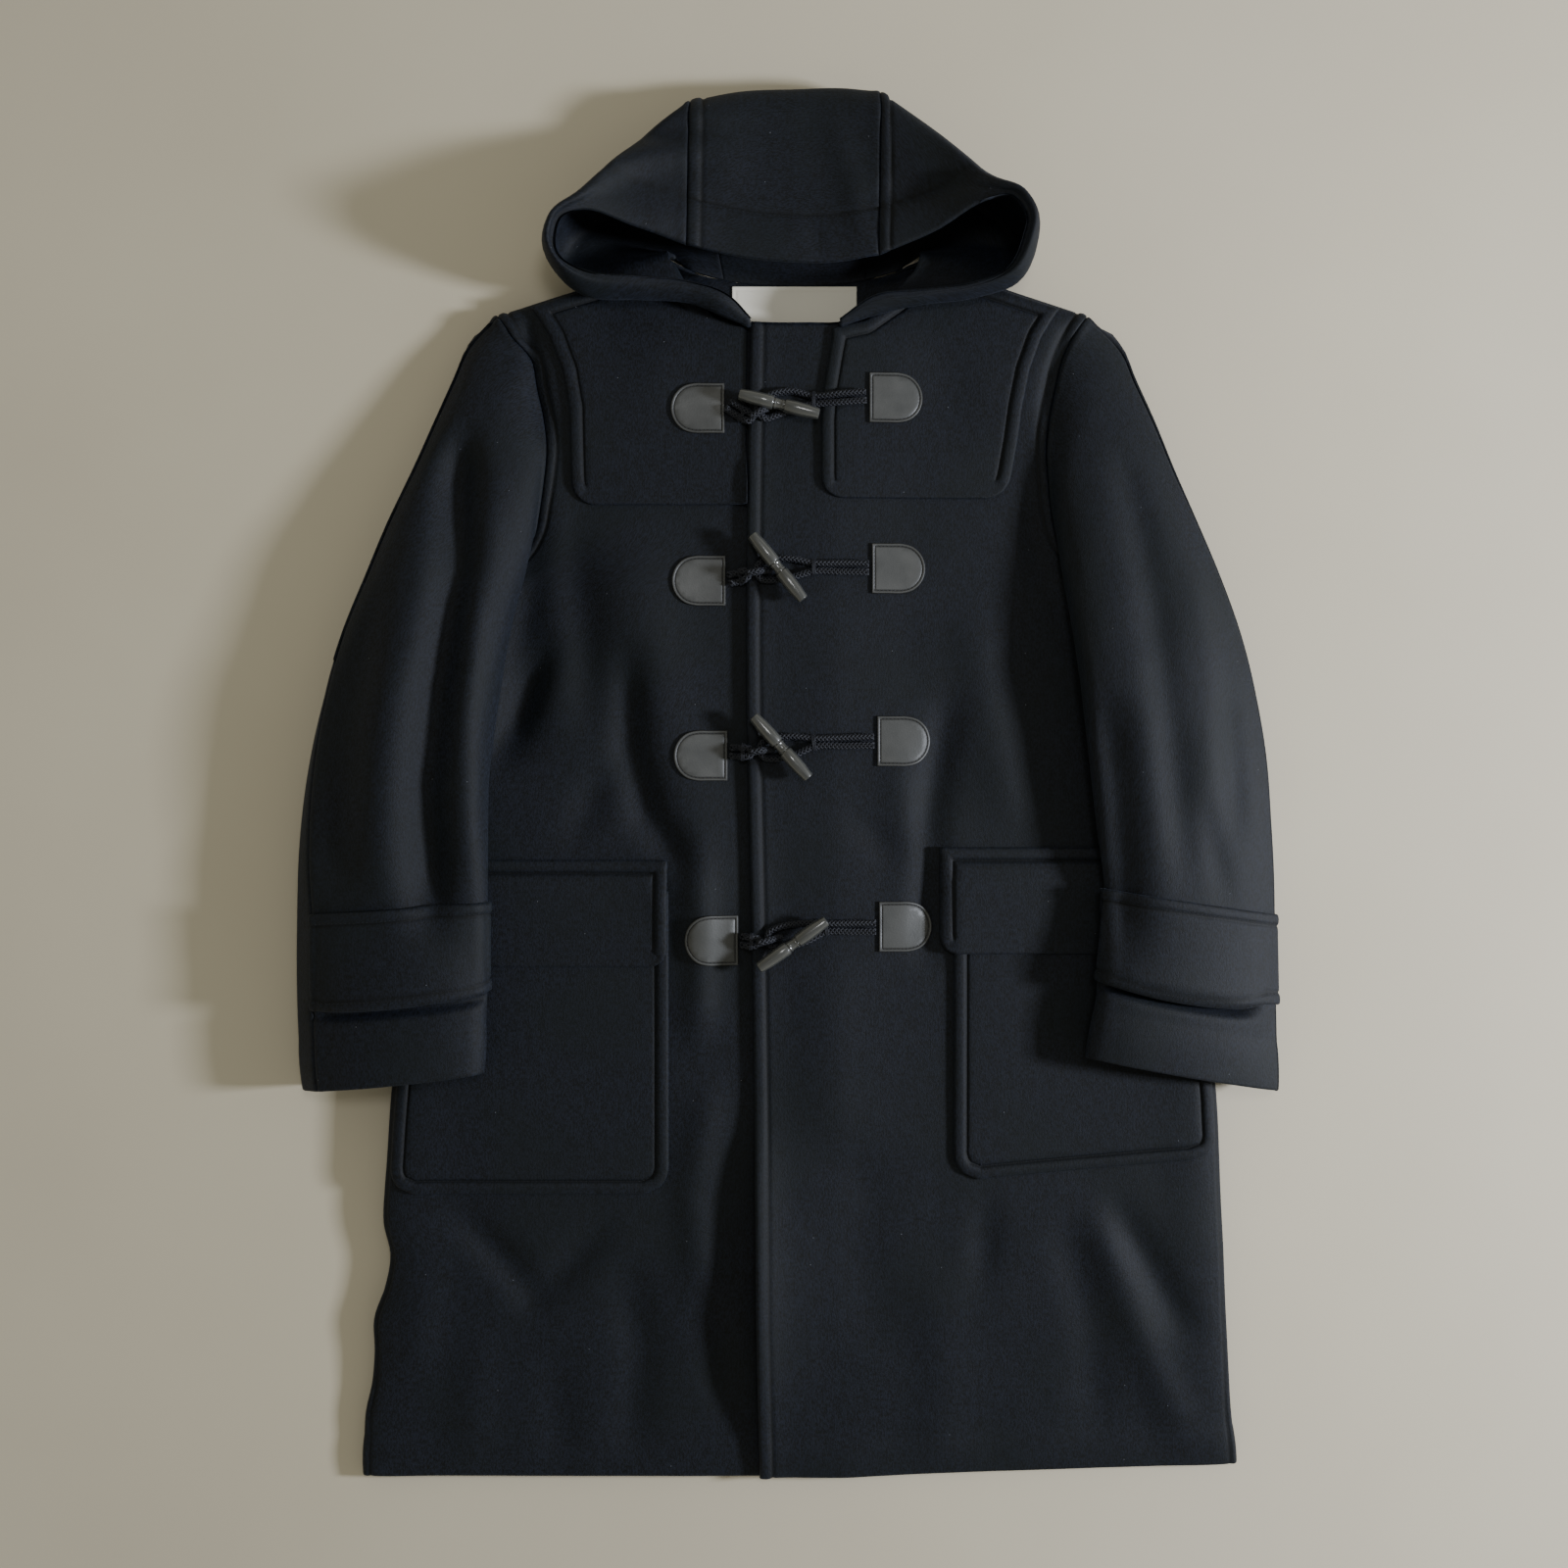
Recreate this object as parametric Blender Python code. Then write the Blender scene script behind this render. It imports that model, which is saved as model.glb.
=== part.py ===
"""A duffle coat in heavy wool, closed on its toggles and laid out on its back.

Every piece of cloth is a grid of points on its outer side, given its wall by extruding the
grid and moving the copy. The frame has X to the wearer's left, Y from hem to hood and Z up
from the surface that the coat lies on. All sizes are in metres.
"""

import math
from collections import namedtuple

import bmesh
import bpy
import numpy as np
from mathutils import Vector
from mathutils.bvhtree import BVHTree

# Cloth and trim
CLOTH = 0.0028  # one layer of heavy wool
LEATHER = 0.0016
LABEL = (0.102, 0.044, 0.0010)  # woven neck label
GAP = 0.0003  # between two pieces at a seam
LIE = 0.0006  # between a piece and the one it lies on
REACH = 0.010  # how far round a point its support is looked for
REACH_RINGS = (0.5, 1.0)  # shares of that reach, each with so many spots round it
REACH_SPOTS = 8
SHARP = 50  # degrees between two faces of cloth that meet in a sharp edge
FOLD = 0.009  # depth of the fold along the sides and shoulders

# The body
CENTRE_FRONT = 0.005
LAP = 0.068  # overlap of the fronts
UNDERARM = 0.165  # level of the underarm point
SHOULDER = 0.383  # level of the shoulder point
NECK_POINT = (0.100, 0.429)  # from the centre front, and its level
BACK_NECK = 0.411
NECK_POWER = 2.5  # the higher, the flatter the middle of the back neck
HEM = -0.562
HEM_RISE = 0.010  # towards the wearer's left, between these two places
HEM_FROM, HEM_TO = 0.04, 0.36
HEM_SIDE = 0.3  # where the hem's level is read for the sides
SHOULDER_SHARE = 0.45  # of the shoulder's fold, in the column beside the neck point

# Side seams, hem to underarm
SIDE_LEVEL = [-0.562, -0.500, -0.413, -0.330, -0.247, -0.160, -0.080, 0.000, 0.060, 0.120, 0.165]
SIDE_RIGHT = [0.347, 0.343, 0.336, 0.328, 0.322, 0.312, 0.302, 0.289, 0.276, 0.258, 0.240]
SIDE_LEFT = [0.367, 0.360, 0.355, 0.351, 0.347, 0.336, 0.324, 0.308, 0.293, 0.272, 0.252]

# Armholes, underarm to shoulder point
ARM_LEVEL = [0.165, 0.177, 0.190, 0.205, 0.2235, 0.245, 0.268, 0.292, 0.316, 0.340, 0.360, 0.374,
             0.3805, 0.383]
ARM_RIGHT = [0.240, 0.226, 0.213, 0.2045, 0.2005, 0.1970, 0.1950, 0.1982, 0.2035, 0.2085, 0.2235,
             0.2310, 0.2352, 0.2367]
ARM_LEFT = [0.252, 0.237, 0.224, 0.2160, 0.2125, 0.2100, 0.2085, 0.2110, 0.2158, 0.2215, 0.2300,
            0.2380, 0.2420, 0.2433]

# Neckline of the fronts: distance from the centre front, and level
NECK_OUT = [0.000, 0.036, 0.050, 0.065, 0.080, 0.090, 0.100]
NECK_LEVEL = [0.3745, 0.3745, 0.3775, 0.3850, 0.3960, 0.4090, 0.4290]

# Height of the fronts over the surface, the edge of the top front and its lift
BODY_LEVEL = [-0.562, -0.520, -0.450, -0.350, -0.200, 0.000, 0.200, 0.300, 0.360, 0.383, 0.430]
BODY_RISE = [0.0108, 0.0135, 0.0175, 0.0205, 0.0225, 0.0235, 0.0240, 0.0235, 0.0220, 0.0205, 0.0190]
EDGE_LEVEL = [-0.562, -0.273, -0.155, -0.076, 0.081, 0.239, 0.377]
EDGE_X = [-0.0232, -0.0270, -0.0287, -0.0303, -0.0335, -0.0327, -0.0303]
LIFT_LEVEL = [-0.562, -0.530, -0.480, -0.420, -0.360, -0.310, -0.265]
LIFT = [0.0000, 0.0030, 0.0110, 0.0150, 0.0120, 0.0080, 0.0000]
LIFT_SPAN = 0.075
STEP_OUT = (0.0025, 0.0155)  # past the under front's edge, the top one steps down over this

# Columns of a front's grid
FOLD_TURNS = [0.0, 30.0, 60.0, 90.0]  # degrees round the side fold
ARM_COLUMNS = [0.0, 0.0032, 0.0066, 0.0105]
SPREAD = [0.18, 0.36, 0.54, 0.7046, 0.80, 0.90, 1.0]  # the fourth ends at the neck point
NECK_COLUMN = 7
PLACKET = [0.0885, 0.0705, 0.0465, 0.0225, 0.0]  # from the top front's edge
UNDER_PLACKET = [0.078, 0.052, 0.026, 0.0]  # from the under front's edge
SKIRT_ROWS = 15
BACK_NECK_X = [-0.075, -0.053, -0.027, 0.005, 0.037, 0.063, 0.085]

# Creases: ends, height (a trough is negative) and half width
CREASES = [
    dict(a=(-0.170, 0.170), b=(-0.165, 0.075), height=-0.0050, width=0.018),
    dict(a=(-0.122, 0.140), b=(-0.119, 0.050), height=-0.0035, width=0.014),
    dict(a=(-0.205, 0.095), b=(-0.228, 0.050), height=-0.0040, width=0.014),
    dict(a=(-0.128, 0.080), b=(-0.112, -0.025), height=-0.0045, width=0.013),
    dict(a=(-0.112, -0.025), b=(-0.057, -0.100), height=-0.0045, width=0.013),
    dict(a=(-0.088, -0.062), b=(-0.084, -0.200), height=0.0040, width=0.010),
    dict(a=(-0.278, -0.345), b=(-0.212, -0.420), height=-0.0040, width=0.013),
    dict(a=(-0.160, -0.368), b=(-0.212, -0.420), height=-0.0040, width=0.013),
    dict(a=(-0.130, -0.435), b=(-0.128, -0.520), height=-0.0030, width=0.012),
    dict(a=(0.155, -0.340), b=(0.158, -0.390), height=-0.0030, width=0.012),
    dict(a=(0.262, -0.365), b=(0.316, -0.500), height=0.0050, width=0.014),
    dict(a=(0.285, -0.360), b=(0.322, -0.440), height=-0.0035, width=0.012),
    dict(a=(0.115, 0.345), b=(0.140, 0.290), height=-0.0030, width=0.020),
    dict(a=(-0.150, 0.392), b=(-0.130, 0.370), height=-0.0040, width=0.018),
]

# The sleeves, below the armhole: the outer and inner fold of each ring in plan, its height, the
# level where it crosses the side seam, and how far it has left the armhole's bow behind
Ring = namedtuple("Ring", "out_x out_y fold_x fold_y top over straight")
SLEEVE_RIGHT = [
    Ring(0.2500, 0.3570, 0.2085, 0.1880, 0.036, 0.1580, 0.10),
    Ring(0.2660, 0.3290, 0.2140, 0.1660, 0.045, 0.1510, 0.25),
    Ring(0.2830, 0.2950, 0.2200, 0.1430, 0.052, 0.1430, 0.45),
    Ring(0.3010, 0.2550, 0.2250, 0.1180, 0.058, 0.1340, 0.65),
    Ring(0.3190, 0.2150, 0.2290, 0.0930, 0.063, 0.1240, 0.85),
    Ring(0.3380, 0.1680, 0.2330, 0.0660, 0.066, 0.0976, 1.00),
    Ring(0.3570, 0.1210, 0.2365, 0.0380, 0.068, 0.0646, 1.00),
    Ring(0.3720, 0.0730, 0.2390, 0.0080, 0.068, 0.0296, 1.00),
    Ring(0.3840, 0.0240, 0.2400, -0.0250, 0.066, -0.0077, 1.00),
    Ring(0.3920, -0.0250, 0.2400, -0.0560, 0.063, -0.0444, 1.00),
    Ring(0.3955, -0.0660, 0.2400, -0.0760, 0.062, -0.0721, 1.00),
    Ring(0.3965, -0.1020, 0.2400, -0.0910, 0.061, -0.0955, 1.00),
    Ring(0.3970, -0.1400, 0.2405, -0.1260, 0.060, -0.1321, 1.00),
    Ring(0.3965, -0.1780, 0.2410, -0.1620, 0.059, -0.1694, 1.00),
    Ring(0.3950, -0.2120, 0.2425, -0.1960, 0.057, -0.2039, 1.00),
    Ring(0.3925, -0.2450, 0.2440, -0.2290, 0.055, -0.2373, 1.00),
]
SLEEVE_LEFT = [
    Ring(0.2580, 0.3540, 0.2170, 0.1900, 0.036, 0.1580, 0.10),
    Ring(0.2710, 0.3280, 0.2190, 0.1700, 0.044, 0.1520, 0.25),
    Ring(0.2860, 0.2950, 0.2225, 0.1480, 0.051, 0.1460, 0.45),
    Ring(0.3030, 0.2550, 0.2265, 0.1220, 0.057, 0.1390, 0.65),
    Ring(0.3200, 0.2150, 0.2300, 0.0950, 0.062, 0.1310, 0.85),
    Ring(0.3410, 0.1680, 0.2335, 0.0660, 0.065, 0.1073, 1.00),
    Ring(0.3570, 0.1210, 0.2370, 0.0360, 0.066, 0.0730, 1.00),
    Ring(0.3695, 0.0730, 0.2405, 0.0040, 0.066, 0.0357, 1.00),
    Ring(0.3790, 0.0240, 0.2440, -0.0260, 0.064, -0.0020, 1.00),
    Ring(0.3845, -0.0250, 0.2475, -0.0530, 0.062, -0.0389, 1.00),
    Ring(0.3875, -0.0650, 0.2495, -0.0680, 0.061, -0.0664, 1.00),
    Ring(0.3888, -0.1020, 0.2505, -0.0800, 0.060, -0.0920, 1.00),
    Ring(0.3897, -0.1380, 0.2490, -0.1160, 0.059, -0.1289, 1.00),
    Ring(0.3905, -0.1750, 0.2460, -0.1520, 0.058, -0.1665, 1.00),
    Ring(0.3925, -0.2080, 0.2410, -0.1850, 0.056, -0.2003, 1.00),
    Ring(0.3945, -0.2410, 0.2360, -0.2150, 0.054, -0.2330, 1.00),
]
ACROSS = [0.02, 0.07, 0.16, 0.29, 0.43, 0.58, 0.73, 0.87, 0.965, 1.0]  # of a ring, on top
ON_BODY = [0.10, 0.38, 0.70, 1.0]  # back beneath, from the inner fold to the body's side
ON_FLOOR = [0.0, 0.09, 0.18, 0.27, 0.36, 0.45, 0.54, 0.63, 0.72, 0.80, 0.88, 0.94, 0.985]
INSIDE, OUTSIDE = 0.002, 0.014  # of the body's side, where the sleeve climbs over it
OUTSIDE_BELOW = 0.002  # the outer of those two places lies lower by this
UNDERARM_INSIDE = 0.006
UNDERARM_OUT = (0.0098, 0.005)  # the armhole's point on the floor: out from the underarm, and down
SETTLE_RINGS = 4  # over which the outer fold leaves the shoulder's height
OUT_SHARE = 0.45  # height of the outer fold, as a share of the ring's
FOLD_SHARE, FOLD_LEAST = 0.30, 0.006  # height of the inner fold over what is below it
CROWN_POWER = 0.75  # the lower, the fuller the top of the sleeve
UNDER_POWER = 6  # the higher, the sharper the inner fold turns under
UNDER_SLOPE = 0.0015  # rise of the underside towards the body's side
OUT_TURN, OUT_POWER = 0.032, 2.2  # how the outer fold turns under to the floor
FLOOR_EASE = 0.35  # share of the floor's side over which the armhole's bow comes in
HIDDEN_ROWS = 3  # of the armhole, which the sleeve covers
SEAM_AT_CUFF = 0.115  # where the back seam shows, across the sleeve
SEAM_RINGS = (7, 12)  # it comes onto the top between these rings
FOREARM_SEAM = 13  # column of the front seam, beneath
SLEEVE_CREASES = [
    dict(a=(-0.268, 0.300), b=(-0.265, 0.205), height=-0.0060, width=0.016),
    dict(a=(-0.263, 0.190), b=(-0.282, 0.100), height=-0.0060, width=0.016),
    dict(a=(-0.285, 0.060), b=(-0.285, -0.080), height=-0.0050, width=0.016),
    dict(a=(0.272, 0.290), b=(0.290, 0.160), height=-0.0060, width=0.016),
    dict(a=(0.300, 0.120), b=(0.312, -0.060), height=-0.0050, width=0.017),
]

# The hood, round its face from one end to the other: the face edge, the fold and its upper and
# lower height, and the neck seam, where a whole number is a column of the back neck
Station = namedtuple("Station", "edge fold top low neck")
HOOD = [
    Station((-0.0300, 0.3755, 0.0330), (-0.0300, 0.3700), 0.032, 0.0265,
            (-0.0320, 0.3760, 0.0260)),
    Station((-0.0470, 0.3905, 0.0450), (-0.0500, 0.3770), 0.043, 0.0265,
            (-0.0500, 0.3840, 0.0265)),
    Station((-0.0810, 0.4010, 0.0500), (-0.0810, 0.3880), 0.047, 0.0265,
            (-0.0740, 0.3990, 0.0265)),
    Station((-0.1200, 0.4030, 0.0560), (-0.1200, 0.3900), 0.052, 0.0270,
            (-0.0850, 0.4080, 0.0265)),
    Station((-0.1570, 0.4040, 0.0640), (-0.1620, 0.3920), 0.060, 0.0270,
            (-0.0920, 0.4170, 0.0260)),
    Station((-0.1765, 0.4120, 0.0700), (-0.1890, 0.4060), 0.070, 0.0200,
            (-0.0960, 0.4290, 0.0240)),
    Station((-0.1815, 0.4260, 0.0740), (-0.1975, 0.4290), 0.078, 0.0040,
            (-0.0980, 0.4450, 0.0060)),
    Station((-0.1805, 0.4410, 0.0760), (-0.1960, 0.4560), 0.080, 0.0,
            (-0.0940, 0.4520, 0.0)),
    Station((-0.1640, 0.4500, 0.0720), (-0.1800, 0.4780), 0.076, 0.0,
            (-0.0870, 0.4420, 0.0)),
    Station((-0.1200, 0.4420, 0.0560), (-0.1260, 0.5270), 0.050, 0.0, 0),
    Station((-0.0810, 0.4310, 0.0450), (-0.0790, 0.5570), 0.040, 0.0, 1),
    Station((-0.0400, 0.4230, 0.0410), (-0.0380, 0.5620), 0.036, 0.0, 2),
    Station((0.0000, 0.4190, 0.0400), (0.0060, 0.5625), 0.035, 0.0, 3),
    Station((0.0400, 0.4190, 0.0410), (0.0440, 0.5630), 0.036, 0.0, 4),
    Station((0.0720, 0.4230, 0.0450), (0.0740, 0.5590), 0.040, 0.0, 5),
    Station((0.1160, 0.4390, 0.0560), (0.1210, 0.5330), 0.052, 0.0, 6),
    Station((0.1560, 0.4590, 0.0720), (0.1700, 0.4950), 0.074, 0.0,
            (0.0970, 0.4420, 0.0)),
    Station((0.1780, 0.4620, 0.0780), (0.1950, 0.4730), 0.082, 0.0,
            (0.1040, 0.4520, 0.0)),
    Station((0.1860, 0.4480, 0.0780), (0.2000, 0.4520), 0.082, 0.0,
            (0.1080, 0.4450, 0.0060)),
    Station((0.1830, 0.4300, 0.0720), (0.1970, 0.4270), 0.074, 0.0150,
            (0.1060, 0.4290, 0.0240)),
    Station((0.1740, 0.4100, 0.0600), (0.1830, 0.4030), 0.060, 0.0270,
            (0.1020, 0.4170, 0.0260)),
    Station((0.1480, 0.3990, 0.0520), (0.1500, 0.3920), 0.049, 0.0270,
            (0.0960, 0.4100, 0.0265)),
    Station((0.1100, 0.3950, 0.0470), (0.1100, 0.3870), 0.044, 0.0270,
            (0.0880, 0.4010, 0.0265)),
    Station((0.0700, 0.3920, 0.0430), (0.0720, 0.3800), 0.040, 0.0265,
            (0.0700, 0.3890, 0.0265)),
    Station((0.0410, 0.3755, 0.0340), (0.0410, 0.3700), 0.033, 0.0280,
            (0.0430, 0.3770, 0.0260)),
]
HOOD_SEAMS = (10, 14)  # stations of the two seams beside the centre strip
HOOD_STEPS = 12
HOOD_FOLD = 0.011

# Yokes: their edges by level, from the middle outwards
YOKE_RIGHT = dict(
    low=0.2275,
    inner_level=[0.220, 0.380], inner=[0.0345, 0.0330],
    outer_level=[0.228, 0.262, 0.317, 0.356, 0.390], outer=[0.1745, 0.1755, 0.1790, 0.1923, 0.2119],
)
YOKE_LEFT = dict(
    low=0.2325,
    inner_level=[0.230, 0.262, 0.317, 0.376], inner=[0.0264, 0.0264, 0.0270, 0.0355],
    outer_level=[0.231, 0.250, 0.278, 0.317, 0.349, 0.386],
    outer=[0.1775, 0.1800, 0.1853, 0.1916, 0.2010, 0.2207],
)
CORNER_END = 0.995  # how much of a rounded corner's quarter turn is drawn
YOKE_ROWS = [0.0, 0.03, 0.075, 0.13, 0.28, 0.46, 0.64, 0.82, 0.94, 1.0]
YOKE_COLUMNS = 8
YOKE_MARGIN = 0.0045
YOKE_RADIUS = 0.018

# Pockets and flaps: inner edge and levels
POCKETS = {
    "right": dict(inner=0.0965, low=-0.3286, high=-0.084, slant=0.0, flap_inner=0.0975,
                  flap_low=-0.1446, flap_high=-0.0588),
    "left": dict(inner=0.1335, low=-0.3168, high=-0.074, slant=0.016, flap_inner=0.1223,
                 flap_low=-0.1344, flap_high=-0.0486),
}
POCKET_ROWS = [0.0, 0.02, 0.05, 0.085, 0.22, 0.36, 0.50, 0.64, 0.80, 1.0]
POCKET_COLUMNS = 9
POCKET_INSET = 0.005
POCKET_RADIUS = 0.022
FLAP_ROWS = [0.0, 0.06, 0.15, 0.30, 0.52, 0.76, 1.0]
FLAP_REACH = 0.016
FLAP_INSET = 0.010
FLAP_RADIUS = 0.014
STRAP_ROWS = (12, 15)  # rings of the sleeve under a cuff strap

# Fastenings, from the neck down: flat side and level of the two patches, the toggle's waist and
# its turn in degrees, and the loop's whipping, the middle of its eye, and its far end
Fastening = namedtuple("Fastening", "toggle_patch loop_patch waist angle whipping eye end rise")
FASTENINGS = [
    Fastening((-0.0514, 0.3049), (0.0650, 0.3131), (-0.0074, 0.3055), -14.0, (0.0200, 0.3105),
              (-0.0070, 0.3104), (-0.0235, 0.2990), 0.002),
    Fastening((-0.0506, 0.1663), (0.0672, 0.1761), (-0.0085, 0.1753), -51.7, (0.0200, 0.1765),
              (-0.0085, 0.1753), (-0.0250, 0.1720), 0.001),
    Fastening((-0.0490, 0.0253), (0.0715, 0.0370), (-0.0058, 0.0318), -48.2, (0.0200, 0.0358),
              (-0.0058, 0.0318), (-0.0225, 0.0290), 0.003),
    Fastening((-0.0404, -0.1236), (0.0730, -0.1126), (0.0035, -0.1254), 35.2, (0.0300, -0.1130),
              (0.0012, -0.1192), (-0.0165, -0.1228), 0.000),
]
PATCH_WIDTH = 0.0432
PATCH_HEIGHT = 0.0404
PATCH_ROUND = 0.45  # share of the width that is rounded
PATCH_ROWS, PATCH_COLUMNS = 7, 4
CORD = 0.0030  # radius of the braid
CORD_REACH = 0.0080  # how far round a cord its support is looked for
STRANDS = 0.0033  # half the spacing of two strands side by side
EYE = 0.0075  # half the spacing round the toggle
PART = 0.35  # share of the way from the eye to the whipping where the strands part
CORD_SHARES = (0.0, 0.25, 0.5, 0.75)  # places along a toggle's cord
EYE_POINTS, TURN_POINTS = 7, 5  # round the end of a loop, and of a toggle's cord
TOGGLE_PROFILE = [(0.00175, 0.0036), (0.0035, 0.0042), (0.0047, 0.0049), (0.0198, 0.0048),
                  (0.0318, 0.0041), (0.0330, 0.0029)]  # distance from the middle, and radius
TOGGLE_RADIUS = 0.0049
TOGGLE_SIDES = 12
TOGGLE_SHARP = 40
TOGGLE_OVER = 2 * CORD + 2 * LIE + TOGGLE_RADIUS  # axis over the cloth
SHANK = [(0.0072, 1.0), (0.0032, 1.04), (0.0, 1.04), (-0.0050, 0.62), (-0.0085, 0.18),
         (-0.0115, 0.0)]  # its run past the loop's end, and its height in diameters of the braid

WOOL = "navy_wool"
LEATHER_NAME = "charcoal_leather"
CORD_NAME = "navy_braid"
HORN = "black_horn"
TAPE = "white_tape"
FINISHES = {
    WOOL: dict(colour=(0.010, 0.012, 0.020, 1.0), roughness=0.95),
    LEATHER_NAME: dict(colour=(0.055, 0.055, 0.052, 1.0), roughness=0.60),
    CORD_NAME: dict(colour=(0.012, 0.013, 0.018, 1.0), roughness=0.80),
    HORN: dict(colour=(0.012, 0.010, 0.010, 1.0), roughness=0.20),
    TAPE: dict(colour=(0.850, 0.840, 0.800, 1.0), roughness=0.85),
}


def clear_scene():
    """Remove the objects of the open scene."""
    for item in list(bpy.data.objects):
        bpy.data.objects.remove(item, do_unlink=True)


def material(name):
    """The Principled material of this name, made on first use."""
    found = bpy.data.materials.get(name)
    if found:
        return found
    made = bpy.data.materials.new(name)
    made.use_nodes = True
    shader = made.node_tree.nodes["Principled BSDF"]
    shader.inputs["Base Color"].default_value = FINISHES[name]["colour"]
    shader.inputs["Roughness"].default_value = FINISHES[name]["roughness"]
    return made


def along(levels, values, level):
    """A smooth curve through a table's points, read at one level."""
    levels = np.asarray(levels)
    values = np.asarray(values)
    slopes = np.gradient(values, levels)
    i = int(np.clip(np.searchsorted(levels, level) - 1, 0, len(levels) - 2))
    span = levels[i + 1] - levels[i]
    t = min(max((level - levels[i]) / span, 0.0), 1.0)
    rise = (1 + 2 * t) * (1 - t) ** 2 * values[i] + t * t * (3 - 2 * t) * values[i + 1]
    return float(rise + span * (t * (1 - t) ** 2 * slopes[i] - t * t * (1 - t) * slopes[i + 1]))


def crease_height(creases, x, y):
    """Height that the creases add at one spot of the plan."""
    total = 0.0
    for crease in creases:
        ax, ay = crease["a"]
        bx, by = crease["b"]
        run = (bx - ax) ** 2 + (by - ay) ** 2
        t = ((x - ax) * (bx - ax) + (y - ay) * (by - ay)) / run
        past = max(-t, t - 1.0, 0.0) * math.sqrt(run)
        off = ((x - ax) * (by - ay) - (y - ay) * (bx - ax)) / math.sqrt(run)
        total += crease["height"] * math.exp(-(off / crease["width"]) ** 2 - (past / 0.030) ** 2)
    return total


def normals(grid, ring=False):
    """Unit normals of a grid of points, along its columns crossed with its rows."""
    if ring:
        grid = np.concatenate([grid[:, -1:], grid, grid[:, :1]], axis=1)
    across = np.gradient(grid, axis=1)
    onward = np.gradient(grid, axis=0)
    normal = np.cross(across, onward)
    normal /= np.linalg.norm(normal, axis=2, keepdims=True)
    return normal[:, 1:-1] if ring else normal


def draw_in(outer, inner, edges):
    """Move the named edges of a piece in by half the seam gap."""
    rows = {"first_row": (0, 1), "last_row": (-1, -2)}
    columns = {"first_column": (0, 1), "last_column": (-1, -2)}
    outer, inner = outer.copy(), inner.copy()
    for edge in edges:
        if edge in rows:
            at, beside = rows[edge]
            step = outer[beside] - outer[at]
        else:
            at, beside = columns[edge]
            step = outer[:, beside] - outer[:, at]
        step = step / np.linalg.norm(step, axis=1, keepdims=True) * GAP / 2
        if edge in rows:
            outer[at] += step
            inner[at] += step
        else:
            outer[:, at] += step
            inner[:, at] += step
    return outer, inner


def panel(name, outer, inner, finish=WOOL, edges=()):
    """One piece of cloth: a grid on its outer points, extruded to its inner points."""
    outer, inner = draw_in(outer, inner, edges)
    rows, columns = outer.shape[:2]
    bm = bmesh.new()
    bmesh.ops.create_grid(bm, x_segments=columns - 1, y_segments=rows - 1, size=1.0)
    skin = list(bm.verts)
    extruded = bmesh.ops.extrude_face_region(bm, geom=list(bm.faces), use_keep_orig=True)
    lining = [v for v in extruded["geom"] if isinstance(v, bmesh.types.BMVert)]
    for layer, points in ((skin, outer), (lining, inner)):
        layer.sort(key=lambda v: (round(v.co.y, 5), round(v.co.x, 5)))
        for vertex, point in zip(layer, points.reshape(-1, 3)):
            vertex.co = point
    bmesh.ops.triangulate(bm, faces=list(bm.faces), quad_method="SHORT_EDGE")
    bmesh.ops.recalc_face_normals(bm, faces=list(bm.faces))
    if bm.calc_volume(signed=True) < 0:
        bmesh.ops.reverse_faces(bm, faces=list(bm.faces))
    mesh = bpy.data.meshes.new(name)
    bm.to_mesh(mesh)
    tree = BVHTree.FromBMesh(bm)
    bm.free()
    mesh.shade_smooth()
    mesh.set_sharp_from_angle(angle=math.radians(SHARP))
    place(name, mesh, finish)
    return tree


def place(name, data, finish):
    """Put one mesh or curve into the coat's collection with its material."""
    item = bpy.data.objects.new(name, data)
    data.materials.append(material(finish))
    coat.objects.link(item)
    return item


def support(trees, x, y, reach=REACH):
    """Height of what lies below one spot: the highest hit at it and in a ring round it."""
    spots = [(x, y)]
    for ring in REACH_RINGS:
        spots += [
            (x + ring * reach * math.cos(a), y + ring * reach * math.sin(a))
            for a in np.linspace(0, 2 * math.pi, REACH_SPOTS, endpoint=False)
        ]
    height = 0.0
    for spot in spots:
        for tree in trees:
            hit = tree.ray_cast(Vector((*spot, 0.5)), Vector((0, 0, -1)))[0]
            if hit:
                height = max(height, hit.z)
    return height


def laid(name, plan, trees, thickness=CLOTH, finish=WOOL, reach=REACH):
    """A flat piece that lies on others: its plan points, dropped onto what is below them."""
    inner = np.zeros(plan.shape[:2] + (3,))
    inner[:, :, :2] = plan
    for row, column in np.ndindex(plan.shape[:2]):
        inner[row, column, 2] = support(trees, *plan[row, column], reach) + LIE
    outer = inner + (0, 0, thickness)
    return panel(name, outer, inner, finish)


# The body


def hem_level(x):
    """Level of the hem, which rises towards the wearer's left."""
    return HEM + HEM_RISE * min(max((x - HEM_FROM) / (HEM_TO - HEM_FROM), 0.0), 1.0)


def side_x(side, level):
    """Distance of the side seam or armhole from the middle at one level."""
    if level < UNDERARM:
        return along(SIDE_LEVEL, SIDE_LEFT if side > 0 else SIDE_RIGHT, level)
    return along(ARM_LEVEL, ARM_LEFT if side > 0 else ARM_RIGHT, level)


def rise(level):
    """Height of the fronts over the surface."""
    return along(BODY_LEVEL, BODY_RISE, level)


def top_level(x):
    """Level of the top edge of a front: its shoulder, then its neckline."""
    out = abs(x - CENTRE_FRONT)
    if out <= NECK_POINT[0]:
        return along(NECK_OUT, NECK_LEVEL, out)
    corner = ARM_LEFT[-1] - CENTRE_FRONT if x > 0 else ARM_RIGHT[-1] + CENTRE_FRONT
    share = (out - NECK_POINT[0]) / (corner - NECK_POINT[0])
    return NECK_POINT[1] + (SHOULDER - NECK_POINT[1]) * share


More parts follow.
